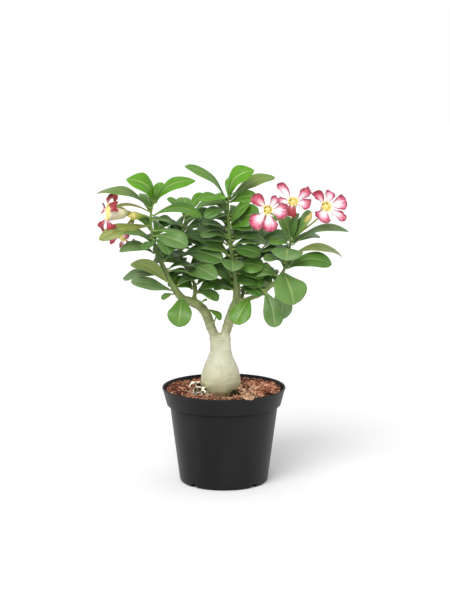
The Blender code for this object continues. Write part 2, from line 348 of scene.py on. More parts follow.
def blend(tree, factor, first, second, kind="MIX"):
    """The first colour with the second laid over it, as far as the factor says."""
    first = (*first, 1) if isinstance(first, tuple) else first
    second = (*second, 1) if isinstance(second, tuple) else second
    made = node(tree, "Mix", {"data_type": "RGBA", "blend_type": kind}, i0=factor, i6=first, i7=second)
    return made.outputs[2]


def spread(tree, value, low, high, new_low=0.0, new_high=1.0):
    """A value moved from one range to another, smoothly and clamped."""
    made = node(tree, "MapRange", {"interpolation_type": "SMOOTHSTEP"}, Value=value, From_Min=low,
                From_Max=high, To_Min=new_low, To_Max=new_high)
    return made.outputs[0]


def colour_ramp(tree, factor, stops):
    made = node(tree, "ValToRGB", Fac=factor)
    elements = made.color_ramp.elements
    while len(elements) < len(stops):
        elements.new(0.5)
    for element, (place, colour) in zip(elements, stops):
        element.position = place
        element.color = (*colour, 1)
    return made.outputs[0]


def value_of(tree, name):
    """A named value on the mesh."""
    return node(tree, "Attribute", {"attribute_name": name}).outputs["Fac"]


def place_of(tree, scale=(1, 1, 1)):
    """The place on the object, stretched."""
    where = node(tree, "TexCoord").outputs["Object"]
    return node(tree, "Mapping", Vector=where, Scale=scale).outputs[0]


def clouds(tree, scale, detail=3.0, rough=0.55, where=None, distortion=0.0):
    """Soft noise over the object's own space, or over the places given."""
    if where is None:
        where = place_of(tree)
    made = node(tree, "TexNoise", Vector=where, Scale=scale, Detail=detail, Roughness=rough,
                Distortion=distortion)
    return made.outputs["Fac"]


def bumped(tree, height, strength, distance, under=None):
    """A bumped normal, laid over another one if it is given."""
    made = node(tree, "Bump", Height=height, Strength=strength, Distance=distance)
    if under is not None:
        tree.links.new(under, made.inputs["Normal"])
    return made.outputs[0]


def new_material(name):
    made = bpy.data.materials.new(name)
    made.use_nodes = True
    tree = made.node_tree
    return made, tree, tree.nodes["Principled BSDF"]


def pot_material():
    made, tree, shader = new_material("black_moulded_plastic")
    smear = clouds(tree, 14, 4, 0.6, place_of(tree, (1, 1, 0.35)))
    dust = clouds(tree, 420, 5, 0.7)
    colour = blend(tree, spread(tree, smear, 0.35, 0.7), (0.0030, 0.0031, 0.0037), (0.0080, 0.0081, 0.0088))
    colour = blend(tree, spread(tree, dust, 0.6, 0.8, 0.0, 0.3), colour, (0.025, 0.025, 0.025))
    rough = times_plus(tree, smear, 0.16, 0.28)
    rough = times_plus(tree, dust, 0.12, rough)
    fine = clouds(tree, 2600, 3, 0.6)
    drag = clouds(tree, 60, 3, 0.5, place_of(tree, (1, 1, 9)))
    normal = bumped(tree, fine, 0.12, 0.0003)
    normal = bumped(tree, drag, 0.05, 0.0012, normal)
    plug(tree, shader, Base_Color=colour, Roughness=rough, Normal=normal, Specular_IOR_Level=0.22)
    return made


def stem_material():
    """Pale smooth skin on the caudex, bark on the limbs, and green skin on the shoots."""
    made, tree, shader = new_material("desert_rose_skin")
    where = node(tree, "SeparateXYZ", Vector=node(tree, "TexCoord").outputs["Object"])
    wander = clouds(tree, 34, 3, 0.6)
    height = times_plus(tree, wander, 0.03, where.outputs[2])
    height = math_node(tree, "SUBTRACT", height, 0.015)
    part = node(tree, "MapRange", Value=height, From_Min=0.11, From_Max=0.40).outputs[0]
    skin = colour_ramp(tree, part, (
        (0.03, (0.32, 0.26, 0.11)),
        (0.10, (0.50, 0.48, 0.30)),
        (0.22, (0.54, 0.55, 0.41)),
        (0.31, (0.47, 0.48, 0.32)),
        (0.36, (0.33, 0.335, 0.175)),
        (0.50, (0.21, 0.27, 0.085)),
        (0.60, (0.135, 0.205, 0.045)),
        (0.72, (0.085, 0.150, 0.030)),
        (0.88, (0.110, 0.220, 0.025)),
        (1.0, (0.240, 0.420, 0.050)),
    ))
    blotch = clouds(tree, 95, 5, 0.62)
    old = spread(tree, where.outputs[2], 0.19, 0.215)
    young = spread(tree, where.outputs[2], 0.30, 0.36)
    depth = times_plus(tree, old, 0.42, 0.16)
    depth = times_plus(tree, young, -0.3, depth)
    dark = times(tree, spread(tree, blotch, 0.42, 0.68), depth, clamp=True)
    colour = blend(tree, dark, skin, (0.13, 0.13, 0.055))
    lines = clouds(tree, 60, 4, 0.6, place_of(tree, (0.6, 0.6, 9)), 0.3)
    line = spread(tree, lines, 0.56, 0.66, 0.0, 0.30)
    colour = blend(tree, line, colour, (0.30, 0.28, 0.15))
    speck = clouds(tree, 700, 2, 0.5)
    colour = blend(tree, spread(tree, speck, 0.66, 0.74, 0.0, 0.5), colour, (0.16, 0.14, 0.07))
    scar = value_of(tree, "scar")
    colour = blend(tree, times(tree, scar, 0.7, clamp=True), colour, (0.12, 0.11, 0.05))
    soil_line = spread(tree, where.outputs[2], 0.122, 0.136, 1.0, 0.0)
    stain = times(tree, soil_line, spread(tree, blotch, 0.3, 0.6), clamp=True)
    colour = blend(tree, times(tree, stain, 0.6), colour, (0.20, 0.13, 0.06))
    rough = times_plus(tree, blotch, 0.25, 0.38)
    normal = bumped(tree, blotch, 0.30, 0.0009)
    normal = bumped(tree, lines, 0.22, 0.0006, normal)
    normal = bumped(tree, clouds(tree, 1500, 3, 0.6), 0.16, 0.0003, normal)
    plug(tree, shader, Base_Color=colour, Roughness=rough, Normal=normal, Subsurface_Weight=0.06,
         Subsurface_Radius=(0.004, 0.003, 0.001))
    return made


def leaf_material():
    """Values on the mesh: across -1 to 1, along 0 to 1, under 1 below. fresh, grey and gold are 0 to 1."""
    made, tree, shader = new_material("fleshy_leaf")
    across = math_node(tree, "ABSOLUTE", value_of(tree, "across"))
    along = value_of(tree, "along")
    under = value_of(tree, "under")
    fresh = value_of(tree, "fresh")
    grey = value_of(tree, "grey")
    # The dark end of this ramp is partly painted shade for the leaves inside the crown.
    colour = colour_ramp(tree, fresh, (
        (0.0, (0.020, 0.064, 0.009)),
        (0.35, (0.052, 0.150, 0.018)),
        (0.65, (0.085, 0.225, 0.013)),
        (1.0, (0.085, 0.270, 0.002)),
    ))
    mottle = clouds(tree, 130, 4, 0.6)
    colour = blend(tree, spread(tree, mottle, 0.35, 0.7, 0.0, 0.45), colour,
                   blend(tree, 1.0, colour, (1.5, 1.35, 1.2), "MULTIPLY"))
    # Painted sheen: a patchy grey-green on the leaves that have grey, in place of their glossy highlights.
    painted_sheen = times(tree, grey, spread(tree, clouds(tree, 60, 3, 0.6), 0.2, 0.75, 0.35, 1.0))
    colour = blend(tree, painted_sheen, colour, (0.23, 0.32, 0.16))
    colour = blend(tree, times(tree, under, 0.62), colour, (0.19, 0.31, 0.09))
    # Painted shade: the blade is darker beside its midrib and towards its foot, and paler towards its margin.
    shade = times(tree, spread(tree, across, 0.95, 0.1), spread(tree, along, 1.0, 0.1, 0.35, 1.0))
    colour = blend(tree, times(tree, shade, 0.5), colour,
                   blend(tree, 1.0, colour, (0.42, 0.50, 0.45), "MULTIPLY"))
    turning = spread(tree, clouds(tree, 90, 4, 0.6), 0.25, 0.6, 0.4, 1.0)
    turning = times(tree, value_of(tree, "gold"), turning)
    colour = blend(tree, turning, colour, (0.36, 0.30, 0.055))
    # Side veins leave the midrib in pairs and bend towards the tip.
    ladder = times_plus(tree, across, -0.22, along)
    ladder = math_node(tree, "SINE", times(tree, ladder, 88))
    vein = times(tree, spread(tree, ladder, 0.55, 1.0), spread(tree, across, 0.9, 0.5))
    colour = blend(tree, times(tree, vein, 0.16), colour, (0.36, 0.46, 0.16))
    thin = times_plus(tree, along, -0.045, 0.095)
    rib = spread(tree, across, times(tree, thin, 1.5), times(tree, thin, 0.4))
    rib = times(tree, rib, times_plus(tree, fresh, 0.5, 0.08))
    colour = blend(tree, rib, colour, (0.42, 0.54, 0.16))
    foot = spread(tree, along, 0.10, 0.0, 0.0, 0.6)
    colour = blend(tree, foot, colour, (0.34, 0.42, 0.12))
    rim = spread(tree, across, 0.95, 1.0, 0.0, 0.45)
    colour = blend(tree, rim, colour, (0.30, 0.36, 0.12))
    blemish = spread(tree, clouds(tree, 240, 2, 0.5), 0.70, 0.76, 0.0, 0.35)
    colour = blend(tree, blemish, colour, (0.22, 0.20, 0.07))
    rough = times_plus(tree, mottle, 0.2, 0.26)
    rough = times_plus(tree, under, 0.2, rough)
    normal = bumped(tree, ladder, 0.10, 0.0004)
    normal = bumped(tree, mottle, 0.18, 0.0008, normal)
    normal = bumped(tree, clouds(tree, 2200, 2, 0.5), 0.08, 0.0002, normal)
    plug(tree, shader, Base_Color=colour, Roughness=rough, Normal=normal, Specular_IOR_Level=0.36,
         Subsurface_Weight=0.08, Subsurface_Radius=(0.002, 0.003, 0.0008))
    return made


def petal_material():
    """Values on the mesh: across -1 to 1, under 1 outside, blush for redness, and lobe, the lobe's number.

    along is -1 at the foot of the tube, 0 at its mouth and 1 at a lobe's tip.
    """
    made, tree, shader = new_material("desert_rose_petal")
    across = value_of(tree, "across")
    along = value_of(tree, "along")
    under = value_of(tree, "under")
    blush = value_of(tree, "blush")
    ray = node(tree, "CombineXYZ", i0=times(tree, across, 5.0),
               i1=times(tree, along, 0.8), i2=value_of(tree, "lobe")).outputs[0]
    streaks = clouds(tree, 2.2, 4, 0.6, ray)
    side = math_node(tree, "POWER", math_node(tree, "ABSOLUTE", across), 1.5)
    out = times(tree, math_node(tree, "MAXIMUM", along, 0.0), 0.85)
    reach = math_node(tree, "ADD", math_node(tree, "POWER", side, 2.0), math_node(tree, "POWER", out, 2.0))
    reach = math_node(tree, "SQRT", reach)
    reach = times_plus(tree, math_node(tree, "SUBTRACT", streaks, 0.5), 0.75, reach)
    reach = times_plus(tree, blush, 0.5, reach)
    colour = colour_ramp(tree, reach, (
        (0.42, (0.88, 0.82, 0.81)),
        (0.58, (0.80, 0.38, 0.48)),
        (0.71, (0.58, 0.055, 0.16)),
        (0.90, (0.36, 0.010, 0.045)),
    ))
    brink = spread(tree, math_node(tree, "ABSOLUTE", across), 0.74, 0.94)
    brink = math_node(tree, "MAXIMUM", brink, spread(tree, along, 0.90, 0.99))
    brink = times(tree, brink, spread(tree, along, 0.15, 0.45, 0.0, 0.85))
    colour = blend(tree, brink, colour, (0.17, 0.006, 0.035))
    throat = spread(tree, along, 0.20, -0.02)
    colour = blend(tree, throat, colour, (0.86, 0.76, 0.24))
    deep = spread(tree, along, -0.04, -0.3)
    colour = blend(tree, deep, colour, (0.78, 0.66, 0.10))
    guide = times(tree, spread(tree, streaks, 0.55, 0.62), spread(tree, along, 0.30, 0.05))
    colour = blend(tree, times(tree, guide, 0.3), colour, (0.66, 0.30, 0.06))
    outer = colour_ramp(tree, times_plus(tree, along, 0.5, 0.5), (
        (0.0, (0.60, 0.60, 0.26)),
        (0.2, (0.86, 0.80, 0.50)),
        (0.50, (0.90, 0.80, 0.64)),
        (0.72, (0.72, 0.22, 0.27)),
        (1.0, (0.40, 0.022, 0.055)),
    ))
    colour = blend(tree, under, colour, outer)
    soft = clouds(tree, 260, 3, 0.6)
    bloom = times(tree, spread(tree, soft, 0.35, 0.75, 0.0, 0.25), spread(tree, blush, 0.5, 0.2))
    colour = blend(tree, bloom, colour, (0.86, 0.60, 0.60))
    # A flower that is going over turns brick red on its lobes.
    faded = times(tree, spread(tree, blush, 0.12, 0.6, 0.0, 0.85), spread(tree, along, 0.08, 0.4))
    colour = blend(tree, faded, colour, (0.36, 0.032, 0.035))
    normal = bumped(tree, streaks, 0.25, 0.0008)
    normal = bumped(tree, clouds(tree, 900, 2, 0.5), 0.10, 0.0003, normal)
    rough = times_plus(tree, soft, 0.2, 0.42)
    plug(tree, shader, Base_Color=colour, Roughness=rough, Normal=normal, Subsurface_Weight=0.15,
         Subsurface_Radius=(0.003, 0.0015, 0.001), Sheen_Weight=0.25, Sheen_Roughness=0.4)
    return made


def stalk_material():
    """Values: along 0 at the foot to 1 at the tip, petal 1 on the furled petals of a bud."""
    made, tree, shader = new_material("stalk_and_calyx")
    along = value_of(tree, "along")
    grain = clouds(tree, 170, 4, 0.6)
    colour = colour_ramp(tree, times_plus(tree, grain, 0.3, along), (
        (0.0, (0.15, 0.25, 0.035)),
        (0.6, (0.28, 0.38, 0.05)),
        (1.0, (0.46, 0.45, 0.09)),
    ))
    ripe = colour_ramp(tree, along, (
        (0.35, (0.50, 0.50, 0.16)),
        (0.65, (0.66, 0.45, 0.22)),
        (1.0, (0.62, 0.16, 0.16)),
    ))
    colour = blend(tree, value_of(tree, "petal"), colour, ripe)
    rough = times_plus(tree, grain, 0.25, 0.38)
    normal = bumped(tree, grain, 0.2, 0.0006)
    normal = bumped(tree, clouds(tree, 1500, 2, 0.5), 0.12, 0.0002, normal)
    plug(tree, shader, Base_Color=colour, Roughness=rough, Normal=normal)
    return made


def bark_material(name, stops, fibre=(1, 1, 1)):
    """Value: tint 0 to 1, one for each chip."""
    made, tree, shader = new_material(name)
    tint = value_of(tree, "tint")
    grain = clouds(tree, 380, 5, 0.68, place_of(tree, fibre))
    mixed = times_plus(tree, math_node(tree, "SUBTRACT", grain, 0.5), 0.55, tint)
    colour = colour_ramp(tree, mixed, stops)
    crumb = clouds(tree, 1500, 3, 0.6)
    colour = blend(tree, spread(tree, crumb, 0.58, 0.7, 0.0, 0.4), colour, (0.045, 0.018, 0.010))
    rough = times_plus(tree, grain, 0.2, 0.72)
    normal = bumped(tree, grain, 0.6, 0.0012)
    normal = bumped(tree, crumb, 0.4, 0.0004, normal)
    plug(tree, shader, Base_Color=colour, Roughness=rough, Normal=normal, Specular_IOR_Level=0.25)
    return made


# ---------------------------------------------------------------- pot

def build_pot(material):
    """The pot: an outline turned round the Z axis, a little out of round, with its notches cut out."""
    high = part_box("pot")[1]
    top = high.z / MM
    rim = high.x / MM
    collar_foot = top - COLLAR_HEIGHT
    collar_r = rim - COLLAR_FOOT_INSET
    body_r = rim - BODY_TOP_INSET
    base_r = rim - BASE_INSET
    outline = [
        (0, POT_FLOOR + 0.3), (base_r * 0.5, POT_FLOOR + 0.2), (base_r - WALL - 4, POT_FLOOR),
        (base_r - WALL - 1, POT_FLOOR + 0.7), (base_r - WALL + 0.2, POT_FLOOR + 2.6),
        (body_r - WALL, collar_foot - 2.2), (body_r - WALL + 0.6, collar_foot - 0.8),
        (collar_r - WALL - 0.7, collar_foot + WALL - 0.3), (collar_r - WALL, collar_foot + WALL + 0.8),
        (rim - WALL - 1.2, top - 3.6), (rim - WALL - 0.6, top - 2.0), (rim - WALL - 0.35, top - 0.9),
        (rim - WALL + 0.05, top - 0.25), (rim - 1.2, top), (rim - 0.6, top - 0.12), (rim - 0.15, top - 0.5),
        (rim, top - 1.1), (rim - 0.02, top - 1.9), (rim - 0.3, top - 2.6), (rim - 0.75, top - 3.1),
        (rim - 1.0, top - 3.8),
        (collar_r + 0.35, collar_foot + 0.7), (collar_r + 0.25, collar_foot + 0.2),
        (collar_r - 0.15, collar_foot), (collar_r - 1.5, collar_foot + 0.6),
        (body_r - 0.2, collar_foot + 0.5), (body_r - 1.0, collar_foot - 0.4),
        (body_r - 0.9, collar_foot - 1.6), (body_r - 0.15, collar_foot - 3.2),
        (base_r + 0.55, 3.4), (base_r + 0.1, 2.0), (base_r - 0.5, 0.9), (base_r - 1.3, 0.25),
        (base_r - 2.3, 0), (base_r - 5, 0), (base_r - 6.2, 0.5), (base_r - 7, 1.1), (base_r * 0.5, 1.2),
        (0, 1.2),
    ]
    # Long straight stretches get more rows, so that the skin stays even.
    rows = [outline[0]]
    for start, end in zip(outline, outline[1:]):
        pieces = max(1, int(math.hypot(end[0] - start[0], end[1] - start[1]) / POT_ROW))
        rows += [(start[0] + (end[0] - start[0]) * i / pieces, start[1] + (end[1] - start[1]) * i / pieces)
                 for i in range(1, pieces + 1)]
    turn = circle(POT_STEPS)
    surface = Surface()
    rings = []
    for r, z in rows[1:-1]:
        sag = 0.12 * math.sin(3 * z / top) * np.cos(2 * turn + 0.6)
        rings.append(ring_of(r + sag, z, turn))
    surface.rings(rings)
    holder = scratch(surface.mesh("nursery_pot"))
    cutters = []
    half = NOTCH_WIDTH / 2
    for angle in NOTCH_ANGLES:
        out, side = compass(angle)
        shape = ((-half, -3), (-half, NOTCH_HEIGHT - 2), (-half * 0.7, NOTCH_HEIGHT - 0.6), (0, NOTCH_HEIGHT),
                 (half * 0.7, NOTCH_HEIGHT - 0.6), (half, NOTCH_HEIGHT - 2), (half, -3))
        tool = Surface()
        tool.rings([[out * reach + side * x + UP * z for x, z in shape]
                    for reach in (base_r + 4, base_r - NOTCH_DEPTH + 2)])
        cutter = scratch(tool.mesh("cutter"))
        cutters.append(cutter)
        boolean = holder.modifiers.new("notch", "BOOLEAN")
        boolean.object = cutter
        boolean.operation = "DIFFERENCE"
        boolean.solver = "EXACT"
    mesh = evaluated(holder)
    for cutter in cutters:
        bpy.data.objects.remove(cutter)
    mesh.shade_smooth()
    mesh.name = "nursery_pot"
    pot = add_piece("nursery_pot", mesh, material)
    pot.modifiers.new("crisp edges", "WEIGHTED_NORMAL")
    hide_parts("pot")


# ---------------------------------------------------------------- growing mix

def mix_height(x, y):
    """The level of the growing mix: heaped right and left of the plant, and low in front of it."""
    x, y = np.asarray(x, float), np.asarray(y, float)
    level = 127.0 + 3.0 * np.exp(-(((x - 48) / 26) ** 2 + ((y + 12) / 42) ** 2))
    level += 1.8 * np.exp(-(((x + 56) / 20) ** 2 + ((y + 8) / 34) ** 2))
    level -= 7.6 * np.exp(-(((x - 1) / 26) ** 2 + ((y + 29) / 15) ** 2))
    return level


def scatter(surface, shapes, count, area, size, slope, lift, tints, dice):
    """Chips strewn over the mix. area, size, lift and tints are ranges, and slope is the greatest tilt."""
    x_low, x_high, y_low, y_high = area
    foot, trunk = section(*node_mesh("caudex"), np.array((0, 0, 126)), UP)
    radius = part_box("soil")[1].x / MM - 0.4
    for _ in range(count):
        x, y = dice.uniform(x_low, x_high), dice.uniform(y_low, y_high)
        long = dice.uniform(*size) * dice.uniform(0.75, 1.0)
        room = radius + 0.6 - math.hypot(x, y)
        if room < 1.2 or math.hypot(x - foot[0], y - foot[1]) < trunk + 0.8:
            continue
        long = min(long, max(2.6, room * 1.7))
        points, faces = shapes[dice.randrange(len(shapes))]
        wide = max(1.2, long * dice.uniform(0.22, 0.48))
        points = points * (long, wide, max(0.7, long * dice.uniform(0.08, 0.22)))
        tilt = dice.uniform(-slope, slope), dice.uniform(-slope, slope)
        points = turned(points, *tilt, dice.uniform(0, 360))
        points = points + (x, y, float(mix_height(x, y)) + dice.uniform(*lift))
        surface.add(points, faces, tint=dice.uniform(*tints))


def build_mix(mix, moss, tan, pale):
    """The body of the growing mix, and everything that lies on it."""
    low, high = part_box("soil")
    radius = high.x / MM - 0.4
    foot = low.z / MM
    dice = random.Random(SEED)
    base = Surface("tint")
    rings = []
    turn = circle(96)
    # The side of the mix keeps inside the pot's wall.
    for r, z in ((8, foot), (52, foot), (57.5, foot + 6), (69.5, 100), (71.2, 108.5), (74.4, 114.6),
                 (radius - 2.2, 120)):
        rings.append(ring_of(r, z, turn))
    for r in (radius - 0.4, 76, 72, 66, 58, 50, 42, 34, 26, 18, 10, 3):
        x, y = r * np.cos(turn), r * np.sin(turn)
        rough = np.array([noise.noise(Vector((a * 0.16, b * 0.16, 3.0))) for a, b in zip(x, y)])
        rings.append(np.stack((x, y, mix_height(x, y) - 1.8 + 1.1 * rough), 1))
    base.rings(rings, tint=0.06)
    soil = base.make("growing_mix", mix)
    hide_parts("soil")

    shapes = [chip_shape(dice) for _ in range(24)]
    whole = (-radius, radius, -radius, radius)
    chips = Surface("tint")
    scatter(chips, shapes, 2600, whole, (3, 7), 30, (-0.9, 0.8), (0.05, 0.75), dice)
    scatter(chips, shapes, 1300, whole, (6, 13), 26, (0.0, 2.0), (0.25, 1.05), dice)
    scatter(chips, shapes, 300, (16, 70, -60, 30), (7, 15), 32, (1.0, 3.2), (0.45, 1.1), dice)
    heap = chips.make("bark_chips", mix, smooth=False)

    # Paler crumbs lie in front of the plant, and loose slabs of bark between it and the flake.
    loose = Surface("tint")
    scatter(loose, shapes, 420, (-52, 22, -80, -44), (2, 5), 35, (0.4, 1.8), (0.1, 0.9), dice)
    scatter(loose, shapes, 110, (22, 42, -78, 0), (9, 18), 50, (1.0, 5.5), (0.1, 1.0), dice)
    scatter(loose, shapes, 120, whole, (3, 8), 25, (0.8, 2.0), (0.3, 1.0), dice)
    crumbs = loose.make("bark_slabs_and_crumbs", tan, smooth=False)

    build_moss(moss, dice)
    build_scrolls(pale, dice)
    build_flake(tan)


def chip_shape(dice):
    """A small angular chip about 1 long, 1 wide and 1 high, to be squeezed to size."""
    bm = bmesh.new()
    for _ in range(13):
        x, y, z = (dice.uniform(-0.5, 0.5) for _ in range(3))
        stretch = 0.5 / max(abs(x), abs(y), abs(z))
        pull = dice.uniform(0.72, 1.0)
        bm.verts.new((x * stretch * pull, y * stretch * pull, z * stretch * pull))
    bmesh.ops.convex_hull(bm, input=bm.verts)
    loose = [v for v in bm.verts if not v.link_faces]
    bmesh.ops.delete(bm, geom=loose, context="VERTS")
    bm.verts.index_update()
    points = np.array([tuple(v.co) for v in bm.verts])
    faces = [tuple(v.index for v in f.verts) for f in bm.faces]
    bm.free()
    return points, faces


def turned(points, about_x, about_y, about_z):
    """Points turned about X, then Y, then Z, in degrees."""
    for axis, angle in enumerate((about_x, about_y, about_z)):
        c, s = math.cos(math.radians(angle)), math.sin(math.radians(angle))
        i, j = ((1, 2), (2, 0), (0, 1))[axis]
        points = points.copy()
        first = points[:, i] * c - points[:, j] * s
        points[:, j] = points[:, i] * s + points[:, j] * c
        points[:, i] = first
    return points


MOSS_STRANDS = 900
ROOTLETS = 16
FLAKE_DROP = 1.5


def build_moss(material, dice):
    """A dark tuft of moss against the right front foot of the caudex, whose near-black strands are also
    painted shade for the hollow there.
    """
    tuft = Surface("tint")
    for _ in range(MOSS_STRANDS):
        x = dice.gauss(14, 4.6)
        y = dice.gauss(-32, 3.6)
        foot = np.array((x, y, float(mix_height(x, y)) - 0.6))
        tall = 12 * math.exp(-((x - 14) / 5.5) ** 2 - ((y + 30) / 6) ** 2) + 2
        lean = np.array((dice.uniform(-1.6, 1.6), dice.uniform(-1.6, 1.0), tall * dice.uniform(0.6, 1.1)))
        middle = foot + lean * 0.55 + (dice.uniform(-0.5, 0.5), dice.uniform(-0.5, 0.5), 0)
        tuft.tube([foot, middle, foot + lean], (0.70, 0.55, 0.15), 4, tint=dice.uniform(0.0, 1.0) ** 4)
    made = tuft.make("moss_tuft", material)


def build_scrolls(material, dice):
    """Dry papery strips that curl up out of the mix to the left of the caudex, and a few rootlets."""
    surface = Surface("tint")
    # Each strip: place, heading of its curl, radius, sweep, width.
    strips = (
        (-43, -24, 12, 6.5, 230, 7.5), (-35, -31, 165, 5.5, 210, 7.0), (-29, -24, 55, 5.0, 250, 6.5),
        (-39, -17, 75, 7.0, 200, 8.0), (-26, -33, 140, 4.0, 240, 5.0), (-33, -22, 110, 8.5, 170, 7.0),
    )
    around = circle(16)
    for x, y, heading, radius, sweep, width in strips:
        ahead, aside = compass(heading)
        foot = np.array((x, y, float(mix_height(x, y)) + 1.0))
        rings, tints = [], []
        for t in np.linspace(0, 1, 30):
            bend = math.radians(-70 + sweep * t)
            r = radius * (1 - 0.35 * t + 0.10 * math.sin(11 * t + x))
            centre = foot + ahead * r * math.cos(bend) + UP * (radius + r * math.sin(bend))
            centre = centre + aside * (3.0 * math.sin(2.5 * t + x))
            outward = ahead * math.cos(bend) + UP * math.sin(bend)
            ragged = noise.noise(Vector((9 * t, x, y)))
            half = width / 2 * (1 + 0.7 * ragged) * (1 - 0.6 * t**4)
            crumple = 0.8 * noise.noise(Vector((7 * t, y, 2.0))) + 1.1 * np.cos(around) ** 2
            rings.append(centre + np.outer(half * np.cos(around), aside)
                         + np.outer(0.5 * np.sin(around) + crumple, outward))
            # Painted light and shade, besides the strip's own two tones: its outer face and edges are pale
            # and its inner face is dark brown.
            two_tones_and_painted_light = 0.5 + 0.45 * np.sin(around) + 0.5 * np.abs(np.cos(around)) ** 5
            tints.append(two_tones_and_painted_light + 0.5 * noise.noise(Vector((12 * t, x, 5.0))))
        surface.rings(rings, tint=np.clip(np.concatenate(tints), 0, 1))
    for _ in range(ROOTLETS):
        x = dice.uniform(-48, -22)
        y = dice.uniform(-38, -14)
        heading = dice.uniform(0, 2 * math.pi)
        bend = dice.uniform(-0.9, 0.9)
        route = [np.array((x, y, float(mix_height(x, y)) + dice.uniform(0.4, 2.0)))]
        for step in range(7):
            heading += bend + dice.uniform(-0.4, 0.4)
            size = dice.uniform(1.4, 2.6)
            rise = dice.uniform(-0.3, 1.6) if step < 4 else dice.uniform(-1.6, 0.2)
            route.append(route[-1] + (size * math.cos(heading), size * math.sin(heading), rise))
        route = spline(route, 22)
        radii = np.linspace(0.62, 0.2, len(route)) * dice.uniform(0.7, 1.25)
        surface.tube(route, radii, 6, tint=dice.uniform(0.3, 0.95))
    made = surface.make("dry_scrolls_and_rootlets", material)


def build_flake(material):
    """A torn flake of bark, in three sheets, that rests on the rim and hangs a little over it."""
    low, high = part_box("bark_flake")
    low, high = np.array(low) / MM, np.array(high) / MM
    centre = (low + high) / 2 - (0, 0, FLAKE_DROP)
    columns, rows = 22, 30
    surface = Surface("tint")
    for sheet, (shrink, raised, turn) in enumerate(((1.0, 0.0, 18), (0.72, 2.0, 34), (0.5, 3.4, -12))):
        rings, tints = [], []
        for i in range(rows + 1):
            t = i / rows
            v = 2 * t - 1
            torn = 0.72 + 0.28 * math.sin(5 * t + 1 + sheet) + 0.45 * noise.noise(Vector((t * 17, sheet, 7)))
            width = (high[0] - low[0]) / 2 * (1 - abs(v) ** 3.2) ** 0.5 * torn
            ring = []
            for side in (1, -1):
                for j in range(columns):
                    u = (2 * j / columns - 1) * side
                    x = u * max(width, 0.5) + 1.3 * math.sin(4.2 * v)
                    y = v * (high[1] - low[1]) / 2 * (1 + 0.10 * noise.noise(Vector((u * 6, sheet, 1))))
                    droop = 2.2 - 1.7 * u * u - 4.2 * max(0, -v) ** 2 + raised
                    crack = 1.5 * noise.noise(Vector((x * 0.9, y * 0.18, 4 + sheet)))
                    crack += 0.8 * noise.noise(Vector((x * 0.5, y * 0.7, 14 + sheet)))
                    thick = 0.9 + 0.4 * noise.noise(Vector((x * 0.5, y * 0.5, side)))
                    thick = thick * (1 - abs(u) ** 4) ** 0.5
                    ring.append((x * shrink, y * shrink, droop + crack + side * thick))
                    streak = noise.noise(Vector((x * 1.1, y * 0.25, 9 + sheet)))
                    tints.append(min(1, max(0, 0.62 + 1.2 * streak - 0.08 * sheet)))
            rings.append(turned(np.array(ring), 0, 0, turn) + centre)
        surface.rings(rings, tint=tints)
    made = surface.make("bark_flake_on_rim", material)
    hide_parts("bark_flake")


# ---------------------------------------------------------------- stems

STEMS = ("caudex", "left_limb", "right_limb", "left_shoot", "middle_left_shoot", "centre_shoot",
         "right_shoot", "rear_right_shoot")
# Where stems meet: (x, y, z, radius) of the wood that fills the join.
JOINS = (
    (-12.7, 0, 199, 7.6),
    (2.0, 0, 199, 7.6),
    (-5.2, 0, 198, 8.0),
    (-48.6, -14, 253.8, 6.0),
    (-40.4, -7.0, 255.5, 4.2),
    (-40.2, -4.2, 258.2, 3.4),
    (18, 0, 255.3, 6.4),
    (24, -3.6, 252.4, 4.0),
    (21.5, 5.2, 249.6, 3.8),
)
# Heights: where the caudex's neck flattens, and where the caudex ends, the limbs begin and the shoots begin.
NECK_START, NECK_FLAT, NECK_TOP = 156, 198, 201
CAUDEX_TOP = (192, 204)
LIMB_FOOT = (198, 206)
SHOOT_FOOT = (262, 285)
NECK_HALF_DEPTH = 6.4
VOXEL = 0.75
EVEN_STEPS = 10
SOFTEN_STEPS = 40


